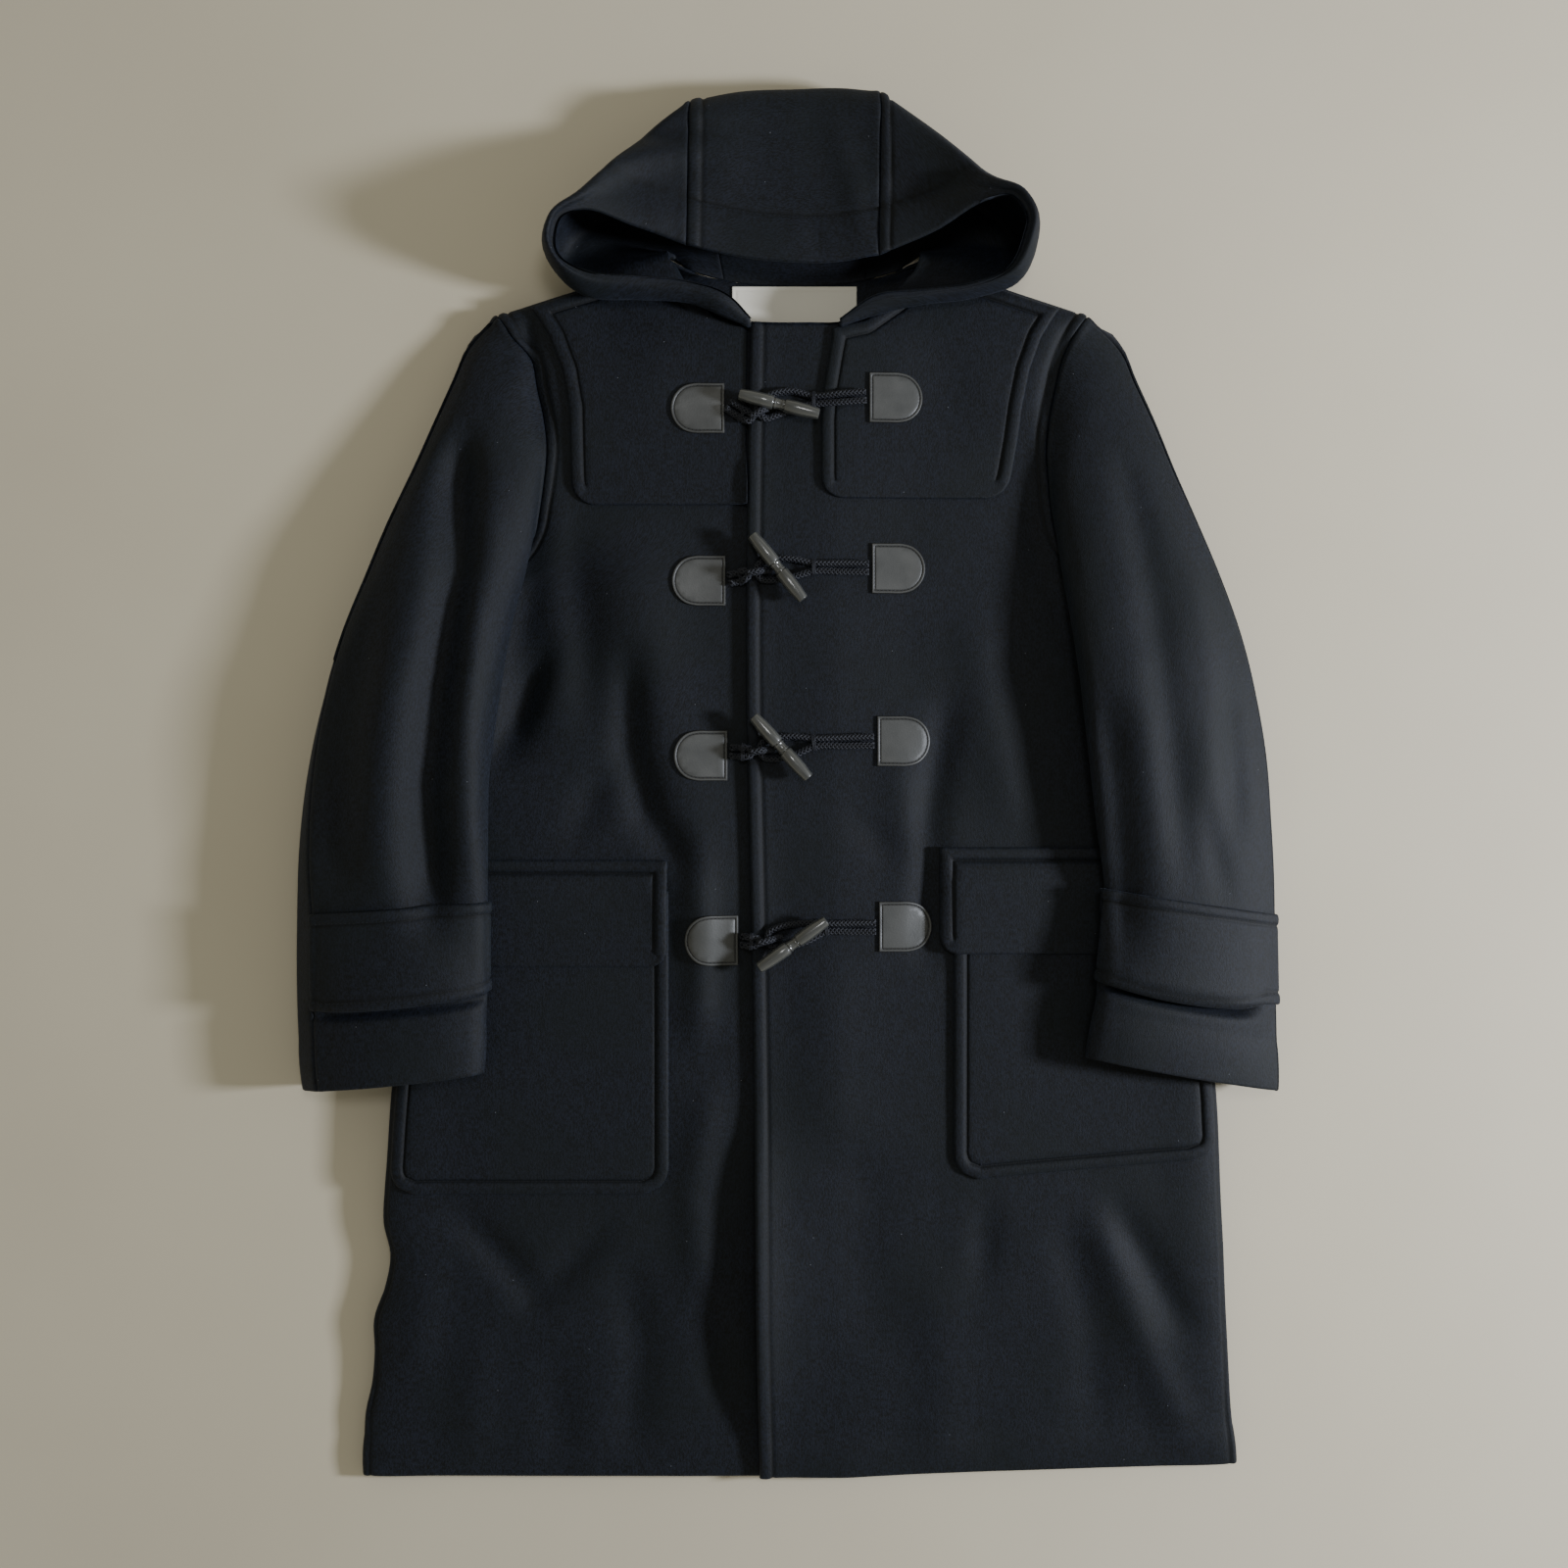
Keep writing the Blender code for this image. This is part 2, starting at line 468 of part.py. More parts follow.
def back_top_level(x):
    """Level of the top edge of the back: the shoulders and the back neck."""
    out = abs(x - CENTRE_FRONT)
    if out >= NECK_POINT[0]:
        return top_level(x)
    return BACK_NECK + (NECK_POINT[1] - BACK_NECK) * (out / NECK_POINT[0]) ** NECK_POWER


def row_levels():
    """Outer level of each row of the body: hem to underarm, then up the armhole."""
    skirt = np.linspace(0.0, 1.0, SKIRT_ROWS + 1)[:-1]
    return [("skirt", t) for t in skirt] + [("arm", level) for level in ARM_LEVEL]


def row_level(kind, t, x, top):
    """Level of a row at one x, from the hem's or the top edge's own line."""
    if kind == "skirt":
        return hem_level(x) + (UNDERARM - hem_level(x)) * t
    share = (t - UNDERARM) / (SHOULDER - UNDERARM)
    return UNDERARM + (top(x) - UNDERARM) * share


def turn_of(kind, t):
    """Turn round the shoulder fold of an armhole row: 0 at the seam, 90 degrees on the flat."""
    if kind == "skirt":
        return math.pi / 2
    down = (SHOULDER - t) / FOLD
    return math.acos(1.0 - min(down, 1.0))


def fold_columns(side, kind, t):
    """The columns at the side: x, and sine and cosine of the turn round the side fold."""
    level = row_level(kind, t, side * HEM_SIDE, top_level) if kind == "skirt" else t
    edge = side * side_x(side, level)
    if kind == "skirt" or t == UNDERARM:
        turns = [math.radians(a) for a in FOLD_TURNS]
        return [(edge - side * FOLD * (1 - math.cos(a)), math.sin(a), math.cos(a)) for a in turns]
    return [(edge - side * inset, 1.0, 0.0) for inset in ARM_COLUMNS]


def flank(side, x, y, kind, t, sine, cosine, shoulder, front):
    """Outer point and wall of the body near its folds, on its front or back."""
    turn = turn_of(kind, t)
    if shoulder < 1.0:
        turn = turn + (math.pi / 2 - turn) * (1 - shoulder)
    sign = 1 if front else -1
    middle = rise(y) / 2
    depth = middle + (crease_height(CREASES, x, y) if front else 0.0)
    point = (x, y, middle + sign * depth * sine * math.sin(turn))
    normal = np.array([side * cosine, math.cos(turn), sign * sine * math.sin(turn)])
    return np.array(point), -CLOTH * normal / np.linalg.norm(normal)


def front_grid(side):
    """Outer and inner points of one front. Rows run up, columns from side to front edge."""
    top_front = side > 0
    outer, inner = [], []
    for kind, t in row_levels():
        columns = fold_columns(side, kind, t)
        level = row_level(kind, t, 0.0, top_level) if kind == "skirt" else t
        edge = along(EDGE_LEVEL, EDGE_X, level)
        if top_front:
            placket = [edge + offset for offset in PLACKET]
        else:
            placket = [edge + LAP - offset for offset in UNDER_PLACKET]
        start = columns[-1][0]
        columns += [(start + (placket[0] - start) * share, 1.0, 0.0) for share in SPREAD]
        columns += [(x, 1.0, 0.0) for x in placket[1:]]
        points, walls = [], []
        for number, (x, sine, cosine) in enumerate(columns):
            y = row_level(kind, t, x, top_level)
            shoulder = {0: 1.0, 1: SHOULDER_SHARE}.get(max(number - NECK_COLUMN, 0), 0.0)
            point, wall = flank(side, x, y, kind, t, sine, cosine, shoulder, True)
            if top_front:
                point[2] += lap_height(x, y, edge)
            points.append(point)
            walls.append(wall)
        outer.append(points)
        inner.append(np.array(points) + walls)
    return np.array(outer), np.array(inner)


def lap_height(x, y, edge):
    """How far the top front stands over its own plane: it lies on the under front."""
    past = (x - edge - LAP - STEP_OUT[0]) / STEP_OUT[1]
    step = (CLOTH + 2 * LIE) * min(max(1.0 - past, 0.0), 1.0)
    lift = along(LIFT_LEVEL, LIFT, y) if y < LIFT_LEVEL[-1] else 0.0
    return step + lift * max(0.0, 1.0 - (x - edge) / LIFT_SPAN) ** 2


def back_grid():
    """Outer and inner points of the back. Columns run from the wearer's right to left."""
    neck = [CENTRE_FRONT - NECK_POINT[0], *BACK_NECK_X, CENTRE_FRONT + NECK_POINT[0]]
    outer, inner = [], []
    for kind, t in row_levels():
        row = []
        for side, end in ((-1, neck[0]), (1, neck[-1])):
            folds = fold_columns(side, kind, t)
            start = folds[-1][0]
            spread = [(start + (end - start) * share / SPREAD[3], 1.0, 0.0) for share in SPREAD[:4]]
            half = [(side, x, sine, cosine, 1.0) for x, sine, cosine in folds + spread]
            row.append(half)
        middle = []
        for number, x in enumerate(BACK_NECK_X):
            beside = number in (0, len(BACK_NECK_X) - 1)
            middle.append((1, x, 1.0, 0.0, SHOULDER_SHARE if beside else 0.0))
        points, walls = [], []
        for side, x, sine, cosine, shoulder in row[0] + middle + row[1][::-1]:
            y = row_level(kind, t, x, back_top_level)
            point, wall = flank(side, x, y, kind, t, sine, cosine, shoulder, False)
            points.append(point)
            walls.append(wall)
        outer.append(points)
        inner.append(np.array(points) + walls)
    return np.array(outer), np.array(inner)


def make_body():
    """The back and the two fronts. Gives their grids and the trees of the fronts."""
    back = back_grid()
    right, left = front_grid(-1), front_grid(1)
    seams = ("first_column", "last_column", "last_row")
    panel("back", *back, edges=seams)
    trees = [
        panel("front_right", *right, edges=("first_column", "last_row")),
        panel("front_left", *left, edges=("first_column", "last_row")),
    ]
    return dict(back=back, right=right, left=left), trees


# The sleeves


def first_ring(side, grids):
    """The armhole's ring of points and walls: down the front, round the underarm, up the back."""
    front = grids["left" if side > 0 else "right"]
    back = grids["back"]
    at = -1 if side > 0 else 0
    front_points, front_walls = front[0][SKIRT_ROWS:, 0], (front[1] - front[0])[SKIRT_ROWS:, 0]
    back_points, back_walls = back[0][SKIRT_ROWS:, at], (back[1] - back[0])[SKIRT_ROWS:, at]
    up, outward = np.array([0, 0, CLOTH]), np.array([side * CLOTH, 0, 0])
    points = list(front_points[:HIDDEN_ROWS:-1])
    walls = list(front_walls[:HIDDEN_ROWS:-1])
    turn = front_points[HIDDEN_ROWS]
    points.append(turn + (0, 0, 3 * LIE))
    walls.append(outward)
    underarm = front_points[0]
    on_top = underarm + (-side * UNDERARM_INSIDE, UNDERARM_INSIDE, 0)
    on_top[2] = front_points[1][2] + CLOTH / 2
    for share in ON_BODY:
        points.append(turn + (on_top - turn) * share + (-side * LIE, 0, 2 * LIE))
        walls.append(up)
    out, down = UNDERARM_OUT
    points.append(np.array([underarm[0] + side * out, underarm[1] - down, 0.0]))
    walls.append(up)
    points += list(back_points[1:-1])
    walls += list(back_walls[1:-1])
    return np.array(points), np.array(walls)


def across_ring(number):
    """Shares across the top of one ring; its second column is the back seam."""
    first, last = SEAM_RINGS
    come = min(max((number - first) / (last - first), 0.0), 1.0)
    seam = ACROSS[0] + (SEAM_AT_CUFF - ACROSS[0]) * come
    rest = [seam + (1 - seam) * (s - ACROSS[0]) / (1 - ACROSS[0]) for s in ACROSS]
    return [0.0, *rest]


def sleeve_grid(side, grids, trees):
    """Outer and inner points of one sleeve. Rows run to the cuff, columns round the arm."""
    rings = SLEEVE_LEFT if side > 0 else SLEEVE_RIGHT
    start, walls = first_ring(side, grids)
    turn = len(ACROSS)
    floor = turn + 1 + len(ON_BODY)
    outer = [start]
    for number, ring in enumerate(rings, 1):
        out = np.array([side * ring.out_x, ring.out_y])
        fold = np.array([side * ring.fold_x, ring.fold_y])
        bow = 1.0 - ring.straight
        ground = support(trees, *fold)
        settle = min(1.0, number / SETTLE_RINGS)
        out_z = rise(SHOULDER) / 2 * (1 - settle) + OUT_SHARE * ring.top * settle
        fold_z = ground + max(FOLD_LEAST, FOLD_SHARE * (ring.top - ground))
        points = []
        for column, share in enumerate(across_ring(number)):
            chord = start[0, :2] + (start[turn, :2] - start[0, :2]) * share
            x, y = out + (fold - out) * share + (start[column, :2] - chord) * bow
            sine = 2 * math.sqrt(share * (1 - share))
            level = out_z + (fold_z - out_z) * share
            crown = ring.top + crease_height(SLEEVE_CREASES, x, y)
            points.append((x, y, level + (crown - level) * sine ** CROWN_POWER))
        edge = side * side_x(side, ring.over)
        inside = np.array([edge - side * INSIDE, ring.over])
        for share in ON_BODY:
            x, y = fold + (inside - fold) * share
            low = support(trees, x, y) + LIE + UNDER_SLOPE * share
            points.append((x, y, low + max(fold_z - low, 0.0) * (1 - share) ** UNDER_POWER))
        outside = np.array([edge + side * OUTSIDE, ring.over - OUTSIDE_BELOW])
        for column, share in enumerate(ON_FLOOR, floor):
            base = (column - floor) / len(ON_FLOOR)
            chord = start[floor, :2] + (start[0, :2] - start[floor, :2]) * base
            ease = bow * math.sqrt(min(1.0, base / FLOOR_EASE))
            x, y = outside + (out - outside) * share + (start[column, :2] - chord) * ease
            away = min(1.0, math.dist((x, y), out) / OUT_TURN)
            points.append((x, y, out_z * (1 - away) ** OUT_POWER))
        outer.append(np.array(points))
    outer = np.array(outer)
    inner = outer - side * CLOTH * normals(outer, ring=True)
    inner[0] = outer[0] + walls
    return outer, inner


def make_sleeve(side, grids, trees):
    """One sleeve in two pieces, and its cuff strap."""
    name = "left" if side > 0 else "right"
    outer, inner = sleeve_grid(side, grids, trees)
    upper = slice(1, FOREARM_SEAM + 1)
    edges = ("first_row", "first_column", "last_column")
    under = np.r_[FOREARM_SEAM : outer.shape[1], 0, 1]
    panel(f"upper_sleeve_{name}", outer[:, upper], inner[:, upper], edges=edges)
    panel(f"under_sleeve_{name}", outer[:, under], inner[:, under], edges=edges)
    rows, columns = slice(*STRAP_ROWS), slice(1, len(ACROSS) + 1)
    lift = (outer - inner)[rows, columns] / CLOTH
    base = outer[rows, columns]
    panel(f"cuff_strap_{name}", base + lift * (LIE + CLOTH), base + lift * LIE)


# The hood


def hood_grid(grids):
    """Outer and inner points of the hood. Rows run round the face, columns back to the neck."""
    back_edge = grids["back"][0][-1]
    first = len(FOLD_TURNS) + 4
    outer = []
    for station in HOOD:
        on_back = isinstance(station.neck, int)
        edge = np.array(station.edge)
        neck = back_edge[first + station.neck] if on_back else np.array(station.neck)
        fold = np.array(station.fold)
        toward = []
        for end, height in ((edge, station.top), (neck, station.low)):
            run = end[:2] - fold
            inset = min(HOOD_FOLD, 0.45 * np.linalg.norm(run))
            toward.append(np.array([*(fold + run / np.linalg.norm(run) * inset), height]))
        above, below = toward
        middle = np.array([*fold, (station.top + station.low) / 2])
        knots = [edge, (edge + above) / 2, above, middle, below, (below + neck) / 2, neck]
        outer.append([through(knots, t) for t in np.linspace(0, len(knots) - 1, HOOD_STEPS + 1)])
    outer = np.array(outer)
    outer[:, :, 2] = np.maximum(outer[:, :, 2], 0.0)
    inner = outer + CLOTH * normals(outer)
    for row, station in enumerate(HOOD):
        if isinstance(station.neck, int) or station.neck[2] == 0.0:
            inner[row, -1] = outer[row, -1] + (0, 0, CLOTH)
    return outer, inner


def through(knots, t):
    """A point of the smooth curve through some knots."""
    i = min(int(t), len(knots) - 2)
    before, after = knots[max(i - 1, 0)], knots[min(i + 2, len(knots) - 1)]
    here, there = knots[i], knots[i + 1]
    t -= i
    return 0.5 * (
        2 * here
        + (there - before) * t
        + (2 * before - 5 * here + 4 * there - after) * t * t
        + (3 * here - before - 3 * there + after) * t ** 3
    )


def make_hood(grids):
    """The hood's centre strip and two sides."""
    outer, inner = hood_grid(grids)
    first, last = HOOD_SEAMS
    pieces = {
        "hood_right": (slice(0, first + 1), ("last_row", "last_column")),
        "hood_centre": (slice(first, last + 1), ("first_row", "last_row", "last_column")),
        "hood_left": (slice(last, None), ("first_row", "last_column")),
    }
    return [panel(name, outer[rows], inner[rows], edges=e) for name, (rows, e) in pieces.items()]


# What lies on the fronts


def rounded(levels, low, inner, outer, radius, both=True):
    """Plan rows between two edges, with both lower corners or only the inner one rounded."""
    rows = []
    for level in levels:
        drop = max(0.0, radius - (level - low)) / radius
        pull = radius * (1 - math.sqrt(1 - min(drop, CORNER_END) ** 2))
        rows.append((inner(level) + pull, outer(level) - (pull if both else 0.0)))
    return rows


def make_yoke(side, trees):
    """The shoulder yoke of one front."""
    table = YOKE_LEFT if side > 0 else YOKE_RIGHT
    low = table["low"]
    plan = np.zeros((len(YOKE_ROWS), YOKE_COLUMNS, 2))
    levels = [low + (SHOULDER - low) * share for share in YOKE_ROWS]
    spans = rounded(
        levels, low,
        lambda y: along(table["inner_level"], table["inner"], y),
        lambda y: along(table["outer_level"], table["outer"], y),
        YOKE_RADIUS,
    )
    for row, (near, far) in enumerate(spans):
        for column in range(YOKE_COLUMNS):
            x = side * (near + (far - near) * column / (YOKE_COLUMNS - 1))
            top = top_level(x) - YOKE_MARGIN
            plan[row, column] = (x, low + (top - low) * YOKE_ROWS[row])
    return laid(f"yoke_{'left' if side > 0 else 'right'}", plan, trees)


def make_pocket(side, trees):
    """One patch pocket and its flap."""
    name = "left" if side > 0 else "right"
    table = POCKETS[name]
    plan = np.zeros((len(POCKET_ROWS), POCKET_COLUMNS, 2))
    low, high = table["low"], table["high"]
    levels = [low + (high - low) * share for share in POCKET_ROWS]
    spans = rounded(
        levels, low, lambda y: table["inner"], lambda y: side_x(side, y) - POCKET_INSET,
        POCKET_RADIUS,
    )
    for row, (near, far) in enumerate(spans):
        for column in range(POCKET_COLUMNS):
            share = column / (POCKET_COLUMNS - 1)
            y = levels[row] + table["slant"] * share * (1 - POCKET_ROWS[row])
            plan[row, column] = (side * (near + (far - near) * share), y)
    pocket = laid(f"pocket_{name}", plan, trees)
    flap = np.zeros((len(FLAP_ROWS), POCKET_COLUMNS, 2))
    low, high = table["flap_low"], table["flap_high"]
    levels = [low + (high - low) * share for share in FLAP_ROWS]
    spans = rounded(
        levels, low, lambda y: table["flap_inner"], lambda y: side_x(side, y) - FLAP_INSET,
        FLAP_RADIUS, both=False,
    )
    for row, (near, far) in enumerate(spans):
        for column in range(POCKET_COLUMNS):
            x = near + (far - near) * column / (POCKET_COLUMNS - 1)
            flap[row, column] = (side * x, levels[row])
    return [pocket, laid(f"pocket_flap_{name}", flap, trees + [pocket], reach=FLAP_REACH)]


def make_patches(trees):
    """The leather patches that hold the cords, one at each end of each fastening."""
    made = []
    for number, fastening in enumerate(FASTENINGS, 1):
        for side, end in ((-1, "toggle"), (1, "loop")):
            flat, level = getattr(fastening, f"{end}_patch")
            plan = np.zeros((PATCH_ROWS, PATCH_COLUMNS, 2))
            for row, angle in enumerate(np.linspace(-math.pi / 2, math.pi / 2, PATCH_ROWS)):
                width = PATCH_WIDTH * (1 - PATCH_ROUND + PATCH_ROUND * math.cos(angle))
                for column in range(PATCH_COLUMNS):
                    x = flat + side * width * column / (PATCH_COLUMNS - 1)
                    plan[row, column] = (x, level + PATCH_HEIGHT / 2 * math.sin(angle))
            made.append(laid(f"{end}_patch_{number}", plan, trees, LEATHER, LEATHER_NAME))
    return made


def toggle_mesh():
    """A turned toggle along X: a rod that thins to its ends, with a waist."""
    half = TOGGLE_PROFILE[-1][0]
    left = [(-x, radius) for x, radius in TOGGLE_PROFILE]
    profile = [(half, 0.0), *TOGGLE_PROFILE[::-1], *left, (-half, 0.0)]
    bm = bmesh.new()
    line = [bm.verts.new((x, 0.0, r)) for x, r in profile]
    edges = [bm.edges.new(pair) for pair in zip(line, line[1:])]
    bmesh.ops.spin(
        bm, geom=line + edges, cent=(0, 0, 0), axis=(1, 0, 0), angle=2 * math.pi,
        steps=TOGGLE_SIDES, use_merge=True,
    )
    bmesh.ops.remove_doubles(bm, verts=list(bm.verts), dist=0.00002)
    bmesh.ops.recalc_face_normals(bm, faces=list(bm.faces))
    mesh = bpy.data.meshes.new("toggle")
    bm.to_mesh(mesh)
    bm.free()
    mesh.shade_smooth()
    mesh.set_sharp_from_angle(angle=math.radians(TOGGLE_SHARP))
    return mesh


def tube(name, points):
    """A cord: a round tube along a line of points."""
    curve = bpy.data.curves.new(name, "CURVE")
    curve.dimensions = "3D"
    curve.bevel_depth = CORD
    curve.bevel_resolution = 2
    curve.use_fill_caps = True
    spline = curve.splines.new("POLY")
    spline.points.add(len(points) - 1)
    for point, spot in zip(spline.points, points):
        point.co = (*spot, 1.0)
    place(name, curve, CORD_NAME)


def line_normal(start, end):
    """Unit direction of a line in plan, and the one to its right."""
    ahead = (end - start) / np.linalg.norm(end - start)
    return ahead, np.array([ahead[1], -ahead[0]])


def half_turn(centre, ahead, beside, radius, count):
    """Points round the far end of a loop, from its left side to its right."""
    turns = np.linspace(-math.pi / 2, math.pi / 2, count)
    return [centre + radius * (ahead * math.cos(a) + beside * math.sin(a)) for a in turns]


def lifted(points, trees, lifts=None):
    """A cord's points in plan, laid on what is below them."""
    lifts = lifts or [0.0] * len(points)
    return [
        (*spot, support(trees, *spot, reach=CORD_REACH) + CORD + LIE + lift)
        for spot, lift in zip(points, lifts)
    ]


def make_fastening(number, fastening, trees):
    """One toggle, the loop from the top front round it, and its cord from the under front."""
    waist, eye, end = (np.array(v) for v in (fastening.waist, fastening.eye, fastening.end))
    toggle = place(f"toggle_{number}", toggle_mesh(), HORN)
    toggle.location = (*waist, support(trees, *waist) + TOGGLE_OVER)
    toggle.rotation_euler = (0, 0, math.radians(fastening.angle))

    # the loop: two strands from its patch, parted round the toggle's waist
    whipping = np.array(fastening.whipping)
    start = np.array(fastening.loop_patch) - (CORD, 0)
    stops = [(start, STRANDS), ((start + whipping) / 2, STRANDS), (whipping, STRANDS),
             (eye + (whipping - eye) * PART, EYE)]
    left, right = [], []
    for (here, spread), (beyond, _) in zip(stops, stops[1:] + [(eye, EYE)]):
        beside = line_normal(here, beyond)[1]
        left.append(here - beside * spread)
        right.append(here + beside * spread)
    ahead, beside = line_normal(eye, end)
    turn = half_turn(end - ahead * EYE, ahead, beside, EYE, EYE_POINTS)
    tube(f"loop_cord_{number}", lifted(left + turn + right[::-1], trees))

    # the toggle's cord: two strands to a turn, and a shank from there over the loop
    start = np.array(fastening.toggle_patch) + (CORD, fastening.rise)
    knot = end + ahead * SHANK[0][0]
    run, across = line_normal(start, knot)
    centre = knot - run * STRANDS
    spots = [start + (centre - start) * share for share in CORD_SHARES]
    turn = half_turn(centre, run, across, STRANDS, TURN_POINTS)
    route = [p - across * STRANDS for p in spots] + turn
    route += [p + across * STRANDS for p in spots[::-1]]
    tube(f"toggle_cord_{number}", lifted(route, trees))

    lifts = [lift * (2 * CORD + LIE) for _, lift in SHANK]
    shank = [end + ahead * step for step, _ in SHANK]
    tube(f"toggle_shank_{number}", lifted(shank, trees, lifts))


def make_label():
    """The blank label at the back of the neck."""
    bpy.ops.mesh.primitive_cube_add(size=1.0)
    label = bpy.context.object
    label.name = "neck_label"
    width, depth, thick = LABEL
    label.location = (CENTRE_FRONT, BACK_NECK - depth / 2 - 0.001, CLOTH + LIE + thick / 2)
    label.scale = (width, depth, thick)
    bpy.ops.object.transform_apply(location=False, rotation=False, scale=True)
    label.data.materials.append(material(TAPE))
    for owner in list(label.users_collection):
        owner.objects.unlink(label)
    coat.objects.link(label)


def main():
    """Build the coat."""
    clear_scene()
    grids, fronts = make_body()
    layers = list(fronts)
    yokes = [make_yoke(side, fronts) for side in (-1, 1)]
    for side in (-1, 1):
        layers += make_pocket(side, fronts)
    for side in (-1, 1):
        make_sleeve(side, grids, layers)
    make_hood(grids)
    patches = make_patches(fronts + yokes)
    for number, fastening in enumerate(FASTENINGS, 1):
        make_fastening(number, fastening, fronts + yokes + patches)
    make_label()


coat = bpy.data.collections.new("duffle_coat")
bpy.context.scene.collection.children.link(coat)

if __name__ == "__main__":
    main()
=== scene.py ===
"""The looks of a duffle coat that lies on its back, closed on its toggles.

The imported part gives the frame: metres, X to the wearer's left, Y from hem to hood and Z up from
the surface under the coat. Each cut piece is laid out here as fine rows of points with its
creases, welts and seams, and every trim is dropped onto the finished cloth below it.
"""

import logging
import math
from collections.abc import Callable, Iterable, Sequence
from dataclasses import dataclass, field
from enum import Enum
from functools import partial

import bmesh
import bpy
import numpy as np
from mathutils import Matrix, Vector
from mathutils.bvhtree import BVHTree


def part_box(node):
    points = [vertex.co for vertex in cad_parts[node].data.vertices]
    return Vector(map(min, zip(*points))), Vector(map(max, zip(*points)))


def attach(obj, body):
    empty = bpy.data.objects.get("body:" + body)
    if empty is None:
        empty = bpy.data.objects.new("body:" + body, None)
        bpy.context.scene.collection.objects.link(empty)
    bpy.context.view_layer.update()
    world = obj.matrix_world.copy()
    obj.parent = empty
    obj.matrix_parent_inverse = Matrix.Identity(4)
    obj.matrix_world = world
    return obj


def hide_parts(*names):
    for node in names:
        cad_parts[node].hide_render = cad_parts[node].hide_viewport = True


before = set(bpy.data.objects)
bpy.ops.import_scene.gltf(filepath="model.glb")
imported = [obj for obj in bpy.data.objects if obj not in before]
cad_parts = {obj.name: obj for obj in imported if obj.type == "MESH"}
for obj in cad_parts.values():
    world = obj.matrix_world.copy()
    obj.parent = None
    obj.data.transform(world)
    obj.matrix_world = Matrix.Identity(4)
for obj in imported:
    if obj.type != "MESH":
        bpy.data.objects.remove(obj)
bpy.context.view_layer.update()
log = logging.getLogger("duffle_coat")

ROOT = "root"
CLOTH = 0.0028  # one layer of heavy wool
SEAM_GAP = 0.0003  # between two pieces at a seam
LIE = 0.0006  # between a piece and the one it lies on
CORD = 0.003  # radius of the braid

Plan = tuple[float, float]
Spot = tuple[float, float, float]
Row = tuple[float, ...]
Array = np.ndarray
Grids = dict[str, Array]
Sockets = bpy.types.bpy_prop_collection
Adder = Callable[..., Sockets]


def mm(*sizes: float | tuple) -> tuple:
    """Turn millimetres, however they are nested, into metres."""
    return tuple(mm(*size) if isinstance(size, tuple) else size / 1000 for size in sizes)


class Side(Enum):
    """The wearer's two sides."""

    RIGHT = "right"
    LEFT = "left"

    @property
    def sign(self) -> int:
        """Sign of X on this side."""
        return 1 if self is Side.LEFT else -1


class Edge(Enum):
    """The four edges of a grid of points."""

    FIRST_ROW = "first row"
    LAST_ROW = "last row"
    FIRST_COLUMN = "first column"
    LAST_COLUMN = "last column"


# Finishes


def linear(code: str) -> tuple[float, float, float, float]:
    """Turn an sRGB hex colour into linear light.

    Args:
        code: The colour as "#rrggbb".

    Returns:
        Red, green and blue in linear light, and an alpha of 1.
    """
    parts = [int(code[i : i + 2], 16) / 255 for i in (1, 3, 5)]
    red, green, blue = (c / 12.92 if c <= 0.04045 else ((c + 0.055) / 1.055) ** 2.4 for c in parts)
    return red, green, blue, 1.0


def add_node(
    tree: bpy.types.NodeTree, kind: str, inputs: dict[str | int, object] | None = None, **settings: object
) -> Sockets:
    """Add a shader node with its settings, values and links.

    Args:
        tree: The nodes of a material or of the world.
        kind: The node's type, without the words ShaderNode.
        inputs: A value or an output socket for each input, by its name or number.
        **settings: The node's own properties.

    Returns:
        The node's outputs.
    """
    node = tree.nodes.new("ShaderNode" + kind)
    for key, value in settings.items():
        setattr(node, key, value)
    for key, value in (inputs or {}).items():
        if isinstance(value, bpy.types.NodeSocket):
            tree.links.new(value, node.inputs[key])
        else:
            node.inputs[key].default_value = value
    return node.outputs


@dataclass(frozen=True)
class Finish:
    """A finish, which makes its material once.

    Attributes:
        name: The material's name: what it is and how it was made.
        slot: The record's material slot that it stands for; not used.
    """

    name: str
    slot: str

    def shade(self, add: Adder) -> bpy.types.NodeSocket:
        """Build the finish's nodes.

        Args:
            add: The function that adds a node.

        Returns:
            The shader.
        """
        raise NotImplementedError

    def material(self) -> bpy.types.Material:
        """The finish's material, made on first use.

        Returns:
            The material.
        """
        made = bpy.data.materials.get(self.name)
        if made is None:
            made = bpy.data.materials.new(self.name)
            made.use_nodes = True
            made.node_tree.nodes.clear()
            add = partial(add_node, made.node_tree)
            add("OutputMaterial", {"Surface": self.shade(add)})
        return made


